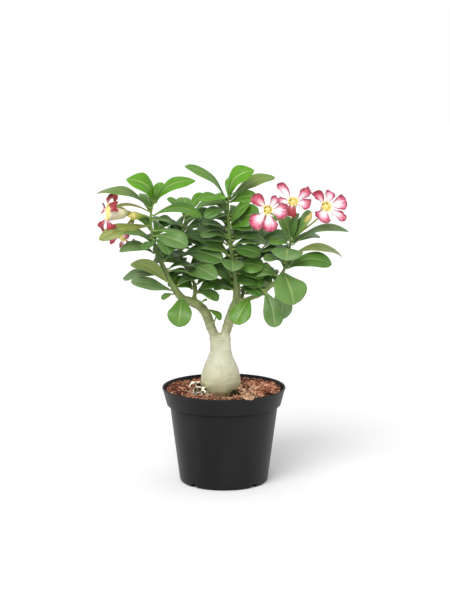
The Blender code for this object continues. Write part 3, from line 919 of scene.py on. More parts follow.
def build_stems(material):
    """All the wood as one skin: the CAD solids, their joins, leaf scars, wrinkles and lumps."""
    bm = joined_nodes(*STEMS)
    for x, y, z, radius in JOINS:
        made = bmesh.ops.create_icosphere(bm, subdivisions=3, radius=radius * MM)
        bmesh.ops.translate(bm, verts=made["verts"], vec=(x * MM, y * MM, z * MM))
    holder = scratch_of(bm)
    remesh = holder.modifiers.new("skin", "REMESH")
    remesh.mode = "VOXEL"
    remesh.voxel_size = VOXEL * MM
    mesh = evaluated(holder)
    points = mesh_points(mesh)
    # The neck flattens front to back, until it is as deep as the limbs that leave it.
    depth = np.abs(points[:, 1])
    squeeze = 1 - 0.92 * ramp01(NECK_START, NECK_FLAT, points[:, 2])
    neck = (points[:, 2] < NECK_TOP) & (depth > NECK_HALF_DEPTH)
    flat = NECK_HALF_DEPTH + (depth - NECK_HALF_DEPTH) * squeeze
    points[neck, 1] = np.sign(points[neck, 1]) * flat[neck]
    move_points(mesh, points)
    near = np.zeros(len(points))
    for x, y, z, radius in JOINS:
        away = np.linalg.norm(points - (x, y, z), axis=1) / (radius * 1.3)
        near = np.maximum(near, np.exp(-away**2))
    holder = scratch(mesh)
    group = holder.vertex_groups.new(name="joins")
    for step in range(1, 11):
        chosen = np.nonzero((near > (step - 1) / 10) & (near <= step / 10))[0]
        group.add(chosen.tolist(), step / 10, "REPLACE")
    even = holder.modifiers.new("even", "SMOOTH")
    even.iterations = EVEN_STEPS
    soften = holder.modifiers.new("soften joins", "SMOOTH")
    soften.iterations = SOFTEN_STEPS
    soften.vertex_group = "joins"
    mesh = evaluated(holder)

    points = mesh_points(mesh)
    normals = np.empty(points.size, np.float32)
    mesh.vertices.foreach_get("normal", normals)
    normals = normals.reshape(-1, 3).astype(float)
    height = points[:, 2]
    lump = np.array([noise.noise(Vector(p * 0.055)) for p in points])
    knob = np.array([noise.noise(Vector((p[0] * 0.16, p[1] * 0.16, p[2] * 0.22 + 40))) for p in points])
    fold = np.array([noise.noise(Vector((p[0] * 0.05, p[1] * 0.05, p[2] * 0.55 + 9))) for p in points])
    body = 1 - ramp01(*CAUDEX_TOP, height)
    shoot = ramp01(*SHOOT_FOOT, height)
    limb = ramp01(*LIMB_FOOT, height) * (1 - shoot)
    shift = body * (0.9 * lump + 0.28 * knob) + body * 0.30 * fold * ramp01(150, 185, height)
    shift += limb * (0.35 * lump + 0.45 * knob + 0.35 * fold)
    shift += shoot * (0.18 * knob + 0.22 * fold)
    # The shoots are slimmer than their CAD solids, and the left one most of all.
    shift -= shoot * (0.55 + 0.35 * ramp01(35, 60, -points[:, 0]))

    # Leaf scars: a low oval pad in a spiral up each stem, dark at its middle.
    dice = random.Random(SEED + 1)
    scar = np.zeros(len(points))
    for name in STEMS[1:]:
        low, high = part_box(name)
        at = low.z / MM + 6
        turn = dice.uniform(0, 360)
        while at < high.z / MM - 8:
            centre, radius = shoot_at(name, at)
            place = centre + compass(turn)[0] * radius
            size = 1.5 + 0.12 * radius
            x, y, z = ((points - place) / (size, size, size * 0.7)).T
            far = np.sqrt(x**2 + y**2 + z**2)
            pad = np.exp(-far**2 * 0.9)
            shift += 0.42 * pad - 0.30 * np.exp(-((far * 2.2) ** 2))
            scar = np.maximum(scar, np.exp(-((far * 1.5) ** 2)))
            at += dice.uniform(4.5, 8.5)
            turn += GOLDEN_ANGLE
    move_points(mesh, points + normals * shift[:, None])
    add_value(mesh, "scar", scar)
    mesh.shade_smooth()
    mesh.name = "stems"
    made = add_piece("caudex_and_stems", mesh, material)
    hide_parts(*STEMS)


# ---------------------------------------------------------------- leaves

LEAF_LOOP, LEAF_BELOW = closed_loop(np.array((0.0, 0.06, 0.14, 0.28, 0.46, 0.64, 0.80, 0.91, 0.975)))
LEAF_BELOW[np.abs(LEAF_LOOP) == 1] = 0.5
# Places along a leaf, closer together near its tip.
LEAF_STATIONS = np.concatenate((np.linspace(0, 0.8, 24), 1 - 0.2 * np.linspace(1, 0, 11)[1:] ** 1.7))
# Where a leaf starts to round off, and the part of its length in which its stalk fades into the blade.
LEAF_TIP = 0.96
STALK_FADE = 0.05
STALK_HALF = 1.25
STALK_LENGTH = 1.8
LEAF_LENGTHEN = 1.03
LEAF_WIDEN = 1.12

# The CAD leaves in order. For each: how green it is, 0 dark to 1 vivid, with the dark end partly painted
# shade, how grey, which is painted sheen, and how yellow, 0 to 1, how far its face turns to the front, 0 to
# 1, how pointed its tip is, 0 to 1, and its extra arch.
LEAVES = {
    "left": (
        (0.95, 0.0, 0.0, 0.1, 0.9, 5),
        (0.90, 0.0, 0.0, 0.1, 1.0, 4),
        (0.50, 0.30, 0.12, 0.30, 0.6, 3),
        (0.50, 0.45, 0.45, 0.25, 0.2, 0),
        (0.35, 0.35, 0.0, 0.35, 0.3, 0),
        (0.35, 0.50, 0.0, 0.4, 0.1, 0),
        (0.40, 0.70, 0.25, 0.1, 0.1, 0),
        (0.30, 0.50, 0.0, 0.2, 0.2, 0),
        (0.35, 0.75, 0.0, 0.45, 0.1, 0),
        (0.55, 0.15, 0.0, 0.1, 0.1, 0),
        (0.60, 0.05, 0.0, 0.2, 0.6, 0),
        (0.45, 0.45, 0.0, 0.1, 0.1, 0),
        (0.45, 0.2, 0.0, 0.1, 0.1, 0),
    ),
    "middle_left": (
        (0.32, 0.10, 0.0, 0.1, 0.1, 0),
        (0.35, 0.20, 0.0, 0.1, 0.1, 0),
        (0.45, 0.40, 0.0, 0.1, 0.1, 0),
        (0.4, 0.2, 0.0, 0.1, 0.1, 0),
        (0.45, 0.2, 0.0, 0.1, 0.1, 0),
    ),
    "centre": (
        (1.0, 0.0, 0.0, 0.1, 0.9, 5),
        (0.58, 0.35, 0.2, 0.1, 0.3, 0),
        (0.60, 0.15, 0.0, 0.12, 0.3, 0),
        (0.80, 0.0, 0.0, 0.1, 0.1, 0),
        (0.50, 0.0, 0.0, 0.1, 0.1, 0),
        (0.35, 0.45, 0.0, 0.1, 0.1, 0),
        (0.25, 0.15, 0.0, 0.1, 0.1, 0),
        (0.30, 0.2, 0.0, 0.1, 0.1, 0),
        (0.4, 0.2, 0.0, 0.1, 0.1, 0),
    ),
    "right": (
        (0.45, 0.10, 0.0, 0.1, 0.1, 0),
        (0.40, 0.55, 0.0, 0.12, 0.9, 2),
        (0.40, 0.45, 0.0, 0.1, 0.1, 0),
        (0.35, 0.60, 0.3, 0.25, 0.6, 2),
        (0.40, 0.10, 0.0, 0.35, 0.1, 0),
        (0.55, 0.35, 0.0, 0.1, 0.1, 0),
        (0.40, 0.55, 0.0, 0.8, 0.0, 0),
        (0.40, 0.45, 0.0, 0.8, 0.0, 0),
        (0.66, 0.1, 0.0, 0.3, 0.0, 0),
    ),
    "rear_right": (
        (0.4, 0.2, 0.0, 0.1, 0.1, 0),
    ),
}

# Small and inner leaves: height on the shoot, reach (x, y, z), width, arch, lean, green and grey. Low green
# is partly painted shade, and grey is painted sheen.
# One is turning yellow too.
INNER_LEAVES = {
    "left_limb": (
        (224, (15, -8, 9), 8, 2, 30, 0.6, 0.2),
        (240, (24, -6, -12), 13, 3, 20, 0.55, 0.1),
        (248, (14, -16, 8), 12, 3, 20, 0.5, 0.2),
    ),
    "left_shoot": (
        (378, (-46, -14, 9), 11, 4, 10, 0.35, 0.2, 0.75),
        (392, (9, -7, 20), 8, 2, 60, 0.7, 0.1),
        (393, (-12, 8, 24), 10, 3, 10, 0.9, 0.0),
        (388, (8, 22, 26), 14, 4, 10, 0.9, 0.0),
        (366, (30, 3, -5), 16, 5, 20, 0.5, 0.5),
        (336, (-10, -39, -4), 17, 5, 0, 0.25, 0.1),
        (340, (21, -34, -14), 20, 6, 0, 0.25, 0.15),
        (312, (34, -6, 10), 20, 6, 20, 0.2, 0.1),
        (303, (-35, -8, -2), 18, 5, 10, 0.15, 0.2),
        (295, (-35, 31, -2), 20, 6, 10, 0.15, 0.1),
        (300, (40, 8, 2), 22, 7, 15, 0.2, 0.15),
        (265, (-20, -20, -4), 11, 3, 0, 0.4, 0.3),
        (352, (-20, 42, 14), 23, 7, 0, 0.45, 0.1),
        (375, (-8, 44, 20), 22, 7, 0, 0.6, 0.1),
        (281, (6, 40, 4), 24, 7, 0, 0.35, 0.2),
        (316, (24, 44, 6), 24, 7, 0, 0.4, 0.1),
    ),
    "middle_left_shoot": (
        (364, (24, -14, 30), 20, 6, 45, 0.85, 0.0),
        (362, (-24, -10, 26), 18, 6, 30, 0.7, 0.0),
        (358, (34, -20, 12), 20, 6, 30, 0.7, 0.1),
        (362, (-4, 30, 24), 20, 5, 0, 0.7, 0.1),
        (350, (-34, -8, 4), 22, 6, 20, 0.25, 0.3),
        (345, (44, 6, 10), 24, 7, 30, 0.3, 0.2),
        (327, (36, 18, 8), 24, 6, 20, 0.2, 0.2),
        (320, (-34, -20, 0), 22, 6, 10, 0.2, 0.2),
        (306, (-40, -6, -4), 22, 6, 10, 0.15, 0.2),
        (290, (34, -10, 8), 22, 5, 30, 0.2, 0.3),
        (296, (-14, 40, 2), 24, 7, 0, 0.3, 0.2),
        (318, (30, 44, 8), 25, 8, 0, 0.3, 0.2),
        (348, (26, 40, 12), 22, 7, 0, 0.4, 0.1),
        (283, (30, 24, 2), 24, 6, 0, 0.25, 0.2),
        (274, (26, 6, 12), 20, 5, 30, 0.3, 0.3),
        (270, (-24, 14, 8), 18, 4, 20, 0.2, 0.2),
    ),
    "centre_shoot": (
        (392, (12, -16, 10), 12, 3, 30, 0.7, 0.3),
        (390, (-12, -20, 6), 14, 4, 20, 0.9, 0.0),
        (394, (8, 20, 24), 16, 4, 20, 0.85, 0.0),
        (388, (38, -10, 8), 20, 6, 40, 0.75, 0.1),
        (385, (-42, 17, -6), 22, 6, 25, 0.7, 0.1),
        (378, (-30, -30, -6), 18, 6, 20, 0.30, 0.1),
        (370, (-24, -26, -2), 16, 5, 10, 0.4, 0.5),
        (366, (30, -22, -4), 20, 5, 25, 0.3, 0.3),
        (357, (26, -22, 31), 25, 6, 55, 0.50, 0.0),
        (354, (37, -24, 12), 24, 5, 55, 0.42, 0.0),
        (352, (-36, -18, 10), 15, 5, 20, 0.2, 0.4),
        (340, (-38, -20, 4), 14, 5, 20, 0.15, 0.4),
        (330, (-36, -10, 8), 18, 5, 20, 0.15, 0.3),
        (336, (40, -14, 8), 22, 6, 30, 0.12, 0.1),
        (324, (38, -24, -4), 24, 6, 30, 0.10, 0.1),
        (316, (40, 6, 6), 24, 7, 20, 0.15, 0.2),
        (306, (-34, -12, 0), 18, 5, 20, 0.15, 0.4),
        (300, (38, -20, 2), 28, 6, 35, 0.40, 0.2),
        (290, (44, -8, 4), 28, 6, 40, 0.45, 0.15),
        (276, (36, -18, 4), 24, 5, 40, 0.40, 0.1),
        (271, (32, -28, -6), 18, 5, 25, 0.20, 0.0),
        (372, (-20, 42, 10), 22, 6, 0, 0.5, 0.1),
        (330, (10, 50, 6), 25, 7, 0, 0.3, 0.2),
        (310, (-24, 44, 4), 24, 7, 0, 0.3, 0.2),
        (284, (10, 40, 2), 25, 6, 0, 0.35, 0.2),
        (362, (24, 44, 14), 22, 6, 0, 0.4, 0.2),
    ),
    "right_shoot": (
        (341, (24, -10, 34), 16, 4, 50, 0.55, 0.5),
        (340, (25, 23, 37), 12, 3, 40, 0.5, 0.5),
        (337, (38, 38, 4), 18, 5, 20, 0.4, 0.3),
        (335, (-26, -22, 5), 18, 5, 30, 0.45, 0.0),
        (338, (-10, 28, 30), 18, 5, 10, 0.5, 0.2),
        (322, (-34, 4, 4), 20, 6, 20, 0.2, 0.2),
        (310, (-30, -16, 6), 16, 5, 20, 0.2, 0.3),
        (300, (10, 40, 6), 23, 6, 0, 0.35, 0.2),
        (284, (-10, 38, 6), 22, 6, 0, 0.35, 0.2),
        (276, (24, -14, -8), 13, 3, 10, 0.3, 0.3),
        (262, (-4, 36, -4), 22, 6, 0, 0.4, 0.2),
    ),
    "rear_right_shoot": (
        (336, (28, -10, 22), 20, 5, 30, 0.6, 0.1),
        (338, (-24, 10, 24), 20, 5, 20, 0.6, 0.1),
        (338, (8, 26, 22), 18, 5, 0, 0.6, 0.1),
        (330, (-40, -8, 8), 24, 6, 30, 0.3, 0.2),
        (322, (34, -26, 4), 24, 6, 20, 0.2, 0.1),
        (306, (-38, -22, 4), 25, 7, 20, 0.12, 0.1),
        (300, (36, 16, 6), 25, 7, 10, 0.25, 0.2),
        (292, (-26, 36, 6), 24, 7, 0, 0.3, 0.2),
        (286, (26, -30, -2), 26, 6, 20, 0.15, 0.1),
        (276, (-34, 4, 2), 22, 6, 20, 0.2, 0.2),
        (270, (30, 26, -8), 24, 6, 0, 0.3, 0.2),
    ),
}

# Filling leaves: lowest and highest stalk, step, and how far to the left and right they may point.
FILL_LEAVES = {
    "left_shoot": (276, 352, 4.2, -0.3, 1.1),
    "middle_left_shoot": (264, 352, 3.6, -1.1, 1.1),
    "centre_shoot": (264, 380, 3.6, -1.1, 1.1),
    "right_shoot": (266, 326, 4.2, -1.1, 0.3),
    "rear_right_shoot": (258, 332, 3.8, -1.1, 1.1),
}


def blade_half_width(t, point):
    """Half the width of an obovate leaf at t of its length, as a part of the greatest."""
    return np.maximum(0, np.sin(math.pi * np.clip(t, 0, 1) ** (1.78 - 0.28 * point))) ** (0.55 + 0.35 * point)


def grow_leaf(surface, stem, base, tip, face, half, arch, tint, dice, point=0.1):
    """A fleshy leaf with a short stalk that starts inside the stem. tint is (green, grey, gold)."""
    reach = (tip - base) * LEAF_LENGTHEN
    half = half * LEAF_WIDEN
    length = np.linalg.norm(reach)
    along = reach / length
    t = LEAF_STATIONS
    curl = dice.uniform(0.0, 0.10) * length
    sway = dice.uniform(-0.05, 0.05) * length
    sideways = np.cross(along, face)
    spine = (base + np.outer(t, reach) + np.outer(4 * arch * t * (1 - t), face)
             - np.outer(curl * np.maximum(0, t - 0.6) ** 2 * 4, face)
             + np.outer(sway * np.sin(math.pi * t), sideways))
    start = [stem + (base - stem) * part for part in (0.0, 0.5)]
    spine = np.vstack((start, spine))
    t = np.concatenate(((-0.02, -0.01), t))
    tangent = np.gradient(spine, axis=0)
    tangent /= np.linalg.norm(tangent, axis=1)[:, None]
    across = np.cross(tangent, face)
    across /= np.linalg.norm(across, axis=1)[:, None]
    normal = np.cross(across, tangent)
    twist = np.radians(dice.uniform(-12, 12)) * np.clip(t, 0, 1)
    across, normal = (across * np.cos(twist)[:, None] + normal * np.sin(twist)[:, None],
                      normal * np.cos(twist)[:, None] - across * np.sin(twist)[:, None])
    width = STALK_HALF + (half - STALK_HALF) * blade_half_width(t, point)
    rounded = np.maximum(width * (1 - ramp01(LEAF_TIP, 1.0, t) * 0.4), 0.35)
    width = np.where(t > LEAF_TIP, rounded, width)
    stalk = np.exp(-np.maximum(t, 0) / STALK_FADE)
    thick = 0.42 + 0.010 * half + 0.75 * stalk
    fold = dice.uniform(0.08, 0.20)
    wave_a, wave_b = dice.uniform(0, 6.28), dice.uniform(0, 6.28)
    waves = dice.uniform(0.03, 0.075)
    loop, below = LEAF_LOOP, LEAF_BELOW
    blade = 1 - stalk
    rings = []
    for i in range(len(t)):
        body = thick[i] * (1 - loop**2) ** 0.38
        rise = np.where(below > 0.5, -body, body)
        groove = 0.30 * blade[i] * np.exp(-((loop * width[i] / 0.75) ** 2))
        rib = 0.65 * blade[i] * (1 - 0.6 * max(t[i], 0)) * np.exp(-((loop * width[i] / 0.9) ** 2))
        rise = rise - np.where(below > 0.5, rib, groove)
        rise = rise + fold * width[i] * np.abs(loop) * blade[i] - 0.10 * width[i] * loop**4 * blade[i]
        wavy = np.where(loop > 0, np.sin(9.5 * t[i] + wave_a), np.sin(8.3 * t[i] + wave_b))
        rise = rise + waves * width[i] * loop**2 * wavy * blade[i] * 1.6
        rings.append(spine[i] + np.outer(loop * width[i], across[i]) + np.outer(rise, normal[i]))
    rows = len(t)
    surface.rings(rings, across=np.tile(loop, rows), along=np.repeat(np.clip(t, 0, 1), len(loop)),
                  under=np.tile(below, rows), fresh=tint[0], grey=tint[1], gold=tint[2])


def leaf_surface():
    """A surface with the values that leaf_material reads."""
    return Surface("across", "along", "under", "fresh", "grey", "gold")


def cad_leaf(name, looks, material, dice):
    """A detailed leaf in the place of a CAD leaf: the same stalk, tip, width and arch."""
    shoot = name.split("_leaf_")[0] + "_shoot"
    points = node_points(name)
    middle = points.mean(0)
    axis = np.linalg.svd(points - middle, full_matrices=False)[2][0]
    order = np.argsort((points - middle) @ axis)
    ends = [points[order[:6]].mean(0), points[order[-6:]].mean(0)]
    wood = node_points(shoot)
    ends.sort(key=lambda end: np.linalg.norm(wood - end, axis=1).min())
    base, tip = ends
    along = unit(tip - base)
    offset = points - base
    offset = offset - np.outer(offset @ along, along)
    face = unit(offset.mean(0))
    sideways = np.cross(along, face)
    half = np.abs(offset @ sideways).max()
    part = (points - base) @ along / np.linalg.norm(tip - base)
    midrib = (np.abs(offset @ sideways) < half * 0.15) & (part > 0.35) & (part < 0.65)
    arch = (offset[midrib] @ face).mean() / 0.98
    green, grey, gold, facing, point, more_arch = looks
    front = unit(FRONT - along * (FRONT @ along))
    face = unit(face * (1 - facing) + front * facing)
    stem = shoot_at(shoot, base[2])[0]
    stem = stem + (base - stem) * 0.2
    surface = leaf_surface()
    grow_leaf(surface, stem, base, tip, face, half, arch + more_arch, (green, grey, gold), dice, point)
    made = surface.make(name + "_blade", material)
    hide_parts(name)


def leaf_on_shoot(surface, shoot, height, reach, width, arch, lean, tint, dice):
    """A leaf placed as the CAD places one: by the height of its stalk and its reach."""
    reach = np.array(reach, float)
    stem, radius = shoot_at(shoot, height)
    out = unit((reach[0], reach[1], 0))
    base = stem + out * (radius + STALK_LENGTH)
    reach = reach - out * (radius + STALK_LENGTH)
    along = unit(reach)
    side = unit(np.cross(along, UP))
    if side[1] > 0:
        side = -side
    level = np.cross(side, along)
    if level[2] < 0:
        level = -level
    face = level * math.cos(math.radians(lean)) + side * math.sin(math.radians(lean))
    grow_leaf(surface, stem + out * radius * 0.3, base, base + reach, face, width / 2, arch, tint, dice)


def inner_leaves(shoot, material, dice):
    """The small and inner leaves of a stem, and those that fill its back and its inner side."""
    surface = leaf_surface()
    for height, reach, width, arch, lean, fresh, grey, *gold in INNER_LEAVES[shoot]:
        tint = (fresh + dice.uniform(0.0, 0.16), grey, sum(gold))
        leaf_on_shoot(surface, shoot, height, reach, width, arch, lean, tint, dice)
    if shoot in FILL_LEAVES:
        low, high, step, x_low, x_high = FILL_LEAVES[shoot]
        height, turn = low, 40.0
        while height < high:
            a = math.radians(turn)
            x, y = math.cos(a), math.sin(a)
            if y > -0.25 and x_low < x < x_high:
                size = dice.uniform(36, 48)
                # Their green and grey are drawn at random: dark green is partly painted shade, and grey is
                # painted sheen.
                tint = (dice.uniform(0.05, 0.75), dice.uniform(0.0, 0.5), 0.0)
                leaf_on_shoot(surface, shoot, height, (x * size, y * size, dice.uniform(-9, 14)),
                              dice.uniform(21, 28), dice.uniform(4, 10), dice.uniform(5, 45), tint, dice)
            height += step
            turn += GOLDEN_ANGLE
    made = surface.make(shoot + "_inner_leaves", material)


# ---------------------------------------------------------------- flowers

# Throat radius, how late the funnel widens, and its radius above the calyx. Then for each lobe: its direction
# as seen from the front, length from the centre, greatest half width, bend back, fold of its sides, redness.
FLOWER_HABITS = {
    "flower_a": (6.0, 1.9, 2.6, (
        (135, 28, 9.5, 15, 0.35, 0.25),
        (50, 20, 7.5, 50, 0.75, -0.05),
        (-10, 27, 12.0, 50, 0.20, 0.05),
        (-84, 31, 11.0, 40, 0.15, 0.00),
        (-132, 32, 12.0, 40, 0.15, 0.02),
    )),
    "flower_b": (6.6, 1.9, 2.6, (
        (133, 32, 9.0, 10, 0.80, -0.06),
        (190, 20, 9.0, 50, 0.35, -0.12),
        (-105, 22, 9.5, 110, 0.30, 0.60),
        (-25, 24, 10.0, 60, 0.45, 0.10),
        (28, 29, 9.0, 50, 0.50, 0.22),
    )),
    "flower_c": (7.0, 1.9, 2.6, (
        (130, 26, 9.0, 30, 0.60, 0.25),
        (68, 22, 9.0, 30, 0.60, -0.08),
        (4, 28, 12.0, 25, 0.30, 0.00),
        (-52, 32, 8.0, 30, 0.45, -0.04),
        (-122, 26, 12.5, 35, 0.20, 0.04),
    )),
    "flower_d": (11.5, 1.0, 5.6, (
        (95, 27, 9.0, 210, 0.55, 0.75),
        (25, 24, 9.0, 190, 0.50, 0.60),
        (-50, 28, 9.0, 130, 0.45, 0.45),
        (-112, 31, 9.5, 70, 0.50, 0.50),
        (170, 26, 9.0, 90, 0.30, 0.50),
    )),
    "flower_e": (7.0, 1.6, 3.0, (
        (110, 26, 10.0, 90, 0.40, 0.15),
        (38, 22, 9.0, 100, 0.45, 0.25),
        (-34, 20, 8.0, 120, 0.50, 0.50),
        (-110, 25, 8.0, 90, 0.50, 0.45),
        (178, 28, 10.0, 60, 0.40, 0.35),
    )),
}


def flower_pose(name):
    """The foot of the corolla's tube, its axis, and its right and up as seen from the front."""
    corolla = node_points(name + "_corolla")
    stalk = node_points(name + "_stalk")
    middle = corolla.mean(0)
    near = np.argsort(np.linalg.norm(stalk - middle, axis=1))[:8]
    foot = stalk[near].mean(0)
    axis = unit(middle - foot)
    right = unit(np.cross(UP, axis))
    up = np.cross(axis, right)
    return foot, axis, right, up


FUNNEL_WALL = 0.55
# Where a petal's lobe is widest, and places along it, closer together near its tip.
LOBE_WIDEST = 0.64
LOBE_STATIONS = np.concatenate((np.linspace(0, 0.8, 24), 1 - 0.2 * np.linspace(1, 0, 9)[1:] ** 1.6))
PETAL_LOOP, PETAL_BELOW = closed_loop(np.array((0.0, 0.12, 0.26, 0.42, 0.58, 0.72, 0.84, 0.93, 0.985)))


def build_flower(name, petal, green, dice):
    """An open flower: its funnel, lobes and anthers, and then its stalk."""
    foot, axis, right, up = flower_pose(name)
    throat, late, neck, lobes = FLOWER_HABITS[name]
    surface = Surface("across", "along", "under", "blush", "lobe")

    def place(x, y, z):
        """A point of the flower: right, up, and out of its mouth. The mouth is at z = 0."""
        x, y, z = (np.asarray(v, float)[..., None] for v in (x, y, z))
        return foot + axis * (z + TUBE_LENGTH) + right * x + up * y

    # The funnel has an outer and an inner wall.
    angle = circle(60)
    rings, depth, outside = [], [], []
    stations = [(t, 0.0, 1) for t in np.linspace(0, 1, 22)]
    stations += [(t, FUNNEL_WALL, 0) for t in np.linspace(1, 0.03, 20)]
    for t, inset, out in stations:
        r = TUBE_RADIUS + (neck - TUBE_RADIUS) * ramp01(0, 0.25, t) + (throat - neck) * t**late
        r += 0.6 * math.sin(math.pi * t) - inset
        r = r * (1 + 0.04 * t * np.cos(LOBES * angle))
        level = np.full(len(angle), (TUBE_LENGTH - 0.4) * (t - 1))
        rings.append(place(r * np.cos(angle), r * np.sin(angle), level))
        depth.append(t - 1)
        outside.append(out)
    wedge = np.abs(np.sin(LOBES * angle / 2))
    surface.rings(rings, across=np.tile(wedge, len(rings)), along=np.repeat(depth, len(angle)),
                  under=np.repeat(outside, len(angle)), blush=0.0, lobe=9.0)
    for number, lobe in enumerate(lobes):
        petal_lobe(surface, place, throat, lobe, number, dice)

    # Five anthers lean together into a cone that fills the throat.
    for a in math.radians(20) + circle(LOBES):
        route = []
        for s in np.linspace(0, 1, 8):
            r = throat * (0.66 - 0.58 * s)
            route.append(place(r * math.cos(a + 0.5 * s), r * math.sin(a + 0.5 * s), -5.5 + 7.0 * s))
        surface.tube(route, np.linspace(0.41, 0.12, 8) * throat, 8, along=-0.06, across=0.2, under=0.0,
                     blush=-0.2, lobe=4.0)
    made = surface.make(name + "_petals", petal)
    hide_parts(name + "_corolla")
    build_calyx(name, foot, axis, right, up, green)


def petal_lobe(surface, place, throat, lobe, number, dice):
    """One lobe as a thin closed skin: a narrow claw, then a broad end with folded and waved sides."""
    direction, reach, widest, bend, fold, blush = lobe
    loop, below = PETAL_LOOP, PETAL_BELOW
    a = math.radians(direction)
    out = np.array((math.cos(a), math.sin(a)))
    side = np.array((-math.sin(a), math.cos(a)))
    phases = [dice.uniform(0, 6.28) for _ in range(5)]
    length = reach - throat + 1.2
    r, z, last = throat - 0.8, -0.5, 0.0
    rings = []
    for t in LOBE_STATIONS:
        heading = math.radians(28 - bend * t**1.3 + 9 * math.sin(7 * t + phases[4]))
        r += math.cos(heading) * length * (t - last)
        z += math.sin(heading) * length * (t - last)
        last = t
        half = CLAW + (widest - CLAW) * ramp01(0.05, LOBE_WIDEST, t)
        if t > LOBE_WIDEST:
            half *= max(0.04, 1 - ((t - LOBE_WIDEST) / (1 - LOBE_WIDEST)) ** 2.8) ** 0.5
        half *= 1 + 0.06 * math.sin(12 * t + phases[0]) + 0.04 * math.sin(31 * t + phases[3])
        waved = np.where(loop > 0, np.sin(15 * t + phases[1]), np.sin(13 * t + phases[2]))
        edge = np.abs(loop) ** 2.2
        lift = fold * half * np.abs(loop) ** 1.8 + 1.5 * waved * edge * min(1, 1.4 * t)
        lift = lift + 1.3 * t**3 * np.sin(4.5 * loop + phases[3]) - 0.8 * (1 - loop**2) * t * (1 - t)
        thick = 0.28 * (1 - np.abs(loop) ** 3) ** 0.5 + 0.03
        lift = lift + np.where(below > 0.5, -thick, thick)
        slide = loop * half * (1 - 0.35 * fold * np.abs(loop)) + 1.6 * t * t
        at_r = r - math.sin(heading) * lift
        at_z = z + math.cos(heading) * lift
        rings.append(place(out[0] * at_r + side[0] * slide, out[1] * at_r + side[1] * slide, at_z))
    count = len(rings)
    surface.rings(rings, across=np.tile(loop, count), along=np.repeat(LOBE_STATIONS, len(loop)),
                  under=np.tile(below, count), blush=blush + dice.uniform(-0.05, 0.05), lobe=float(number))


def smooth_copy(name):
    """A rounded copy of a CAD tube, as points and faces in millimetres."""
    holder = scratch_of(joined_nodes(name))
    finer = holder.modifiers.new("finer", "SUBSURF")
    finer.levels = 2
    mesh = evaluated(holder)
    return mesh_points(mesh), [tuple(p.vertices) for p in mesh.polygons]


def add_sepals(surface, axes, start, rows, sides, thick, dish, shape, along):
    """Sepals round the first of the axes. shape gives a sepal's centre and half width at t of its length."""
    axis, right, up = axes
    turn = circle(sides)
    for a in start + circle(LOBES):
        out = right * math.cos(a) + up * math.sin(a)
        side = np.cross(axis, out)
        rings = []
        for t in rows:
            centre, half = shape(t, out)
            lift = thick * np.sin(turn) - dish * half * np.cos(turn) ** 2
            rings.append(centre + np.outer(half * np.cos(turn), side) + np.outer(lift, out))
        surface.rings(rings, along=np.repeat(along, sides), petal=0.0)


def build_calyx(name, foot, axis, right, up, material):
    """The flower's stalk with five narrow sepals that clasp the tube."""

    def sepal(t, out):
        away = 2.7 + 0.9 * math.sin(math.pi * t * 0.8) + 1.6 * t**3
        half = 1.75 * (1 - t) ** 0.8 * (0.75 + 0.5 * math.sin(math.pi * min(1, t * 1.6))) + 0.12
        return foot + axis * (-2.6 + 10.5 * t) + out * away, half

    surface = Surface("along", "petal")
    points, faces = smooth_copy(name + "_stalk")
    far = np.linalg.norm(points - foot, axis=1)
    surface.add(points, faces, along=np.clip(0.75 - far / far.max() * 0.75, 0, 1), petal=0.0)
    rows = np.linspace(0, 1, 12)
    add_sepals(surface, (axis, right, up), 0.4, rows, 10, 0.34, 0.12, sepal, 0.45 + 0.55 * rows)
    made = surface.make(name + "_stalk_and_calyx", material)
    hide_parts(name + "_stalk")


# A bud: how often its CAD solid is cut, the rows of its skin, and the row at which its calyx starts.
BUD_CUTS = 14
BUD_ROWS = 46
BUD_CALYX = 13


def build_bud(name, swelling, part, ripeness, material):
    """An unopened flower: a stalk, a calyx, and petals furled in a spiral, over a part of the CAD bud."""
    points, triangles = node_mesh(name)
    middle = points.mean(0)
    axis = np.linalg.svd(points - middle, full_matrices=False)[2][0]
    reach = (points - middle) @ axis
    ends = [points[reach.argmin()], points[reach.argmax()]]
    wood = node_points(name.split("_")[0] + "_shoot")
    if np.linalg.norm(wood - ends[0], axis=1).min() > np.linalg.norm(wood - ends[1], axis=1).min():
        axis = -axis
        reach = -reach
    low, high = reach.min(), reach.max()
    centres, radii = [], []
    for t in np.linspace(0.012, 0.988, BUD_CUTS) * part:
        centre, radius = section(points, triangles, middle + axis * (low + (high - low) * t), axis)
        centres.append(centre)
        radii.append(radius)
    route = spline(centres, BUD_ROWS)
    place = np.linspace(0, 1, BUD_ROWS)
    radii = np.interp(place, np.linspace(0, 1, BUD_CUTS), radii)
    radii = radii * (1 - ramp01(0.72, 1.0, place) * 0.8)
    surface = Surface("along", "petal")
    turn = circle(30)
    right = unit(np.cross(axis, UP))
    up = np.cross(right, axis)
    rings = []
    for point, radius, t in zip(route, radii, place):
        furl = 0.16 * ramp01(0.35, 0.6, t) * np.abs(((turn / (2 * math.pi) * LOBES + 2.2 * t) % 1) - 0.5) * 2
        r = radius * (1 - furl + 0.06 * ramp01(0.3, 0.4, t)) * (1 + (swelling - 1) * ramp01(0.15, 0.5, t))
        rings.append(point + np.outer(r * np.cos(turn), right) + np.outer(r * np.sin(turn), up))
    petal = ripeness * ramp01(0.38, 0.5, place)
    surface.rings(rings, along=np.repeat(place, len(turn)), petal=np.repeat(petal, len(turn)))

    def sepal(t, out):
        i = BUD_CALYX + int(t * 11)
        return route[i] + out * (radii[i] + 0.25 + 0.9 * t**3), 1.5 * (1 - t) ** 0.8 + 0.12

    rows = np.linspace(0, 1, 10)
    add_sepals(surface, (axis, right, up), 0.0, rows, 8, 0.32, 0.0, sepal, 0.35 + 0.5 * rows)
    made = surface.make(name + "_furled", material)
    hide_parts(name)


# ---------------------------------------------------------------- stage

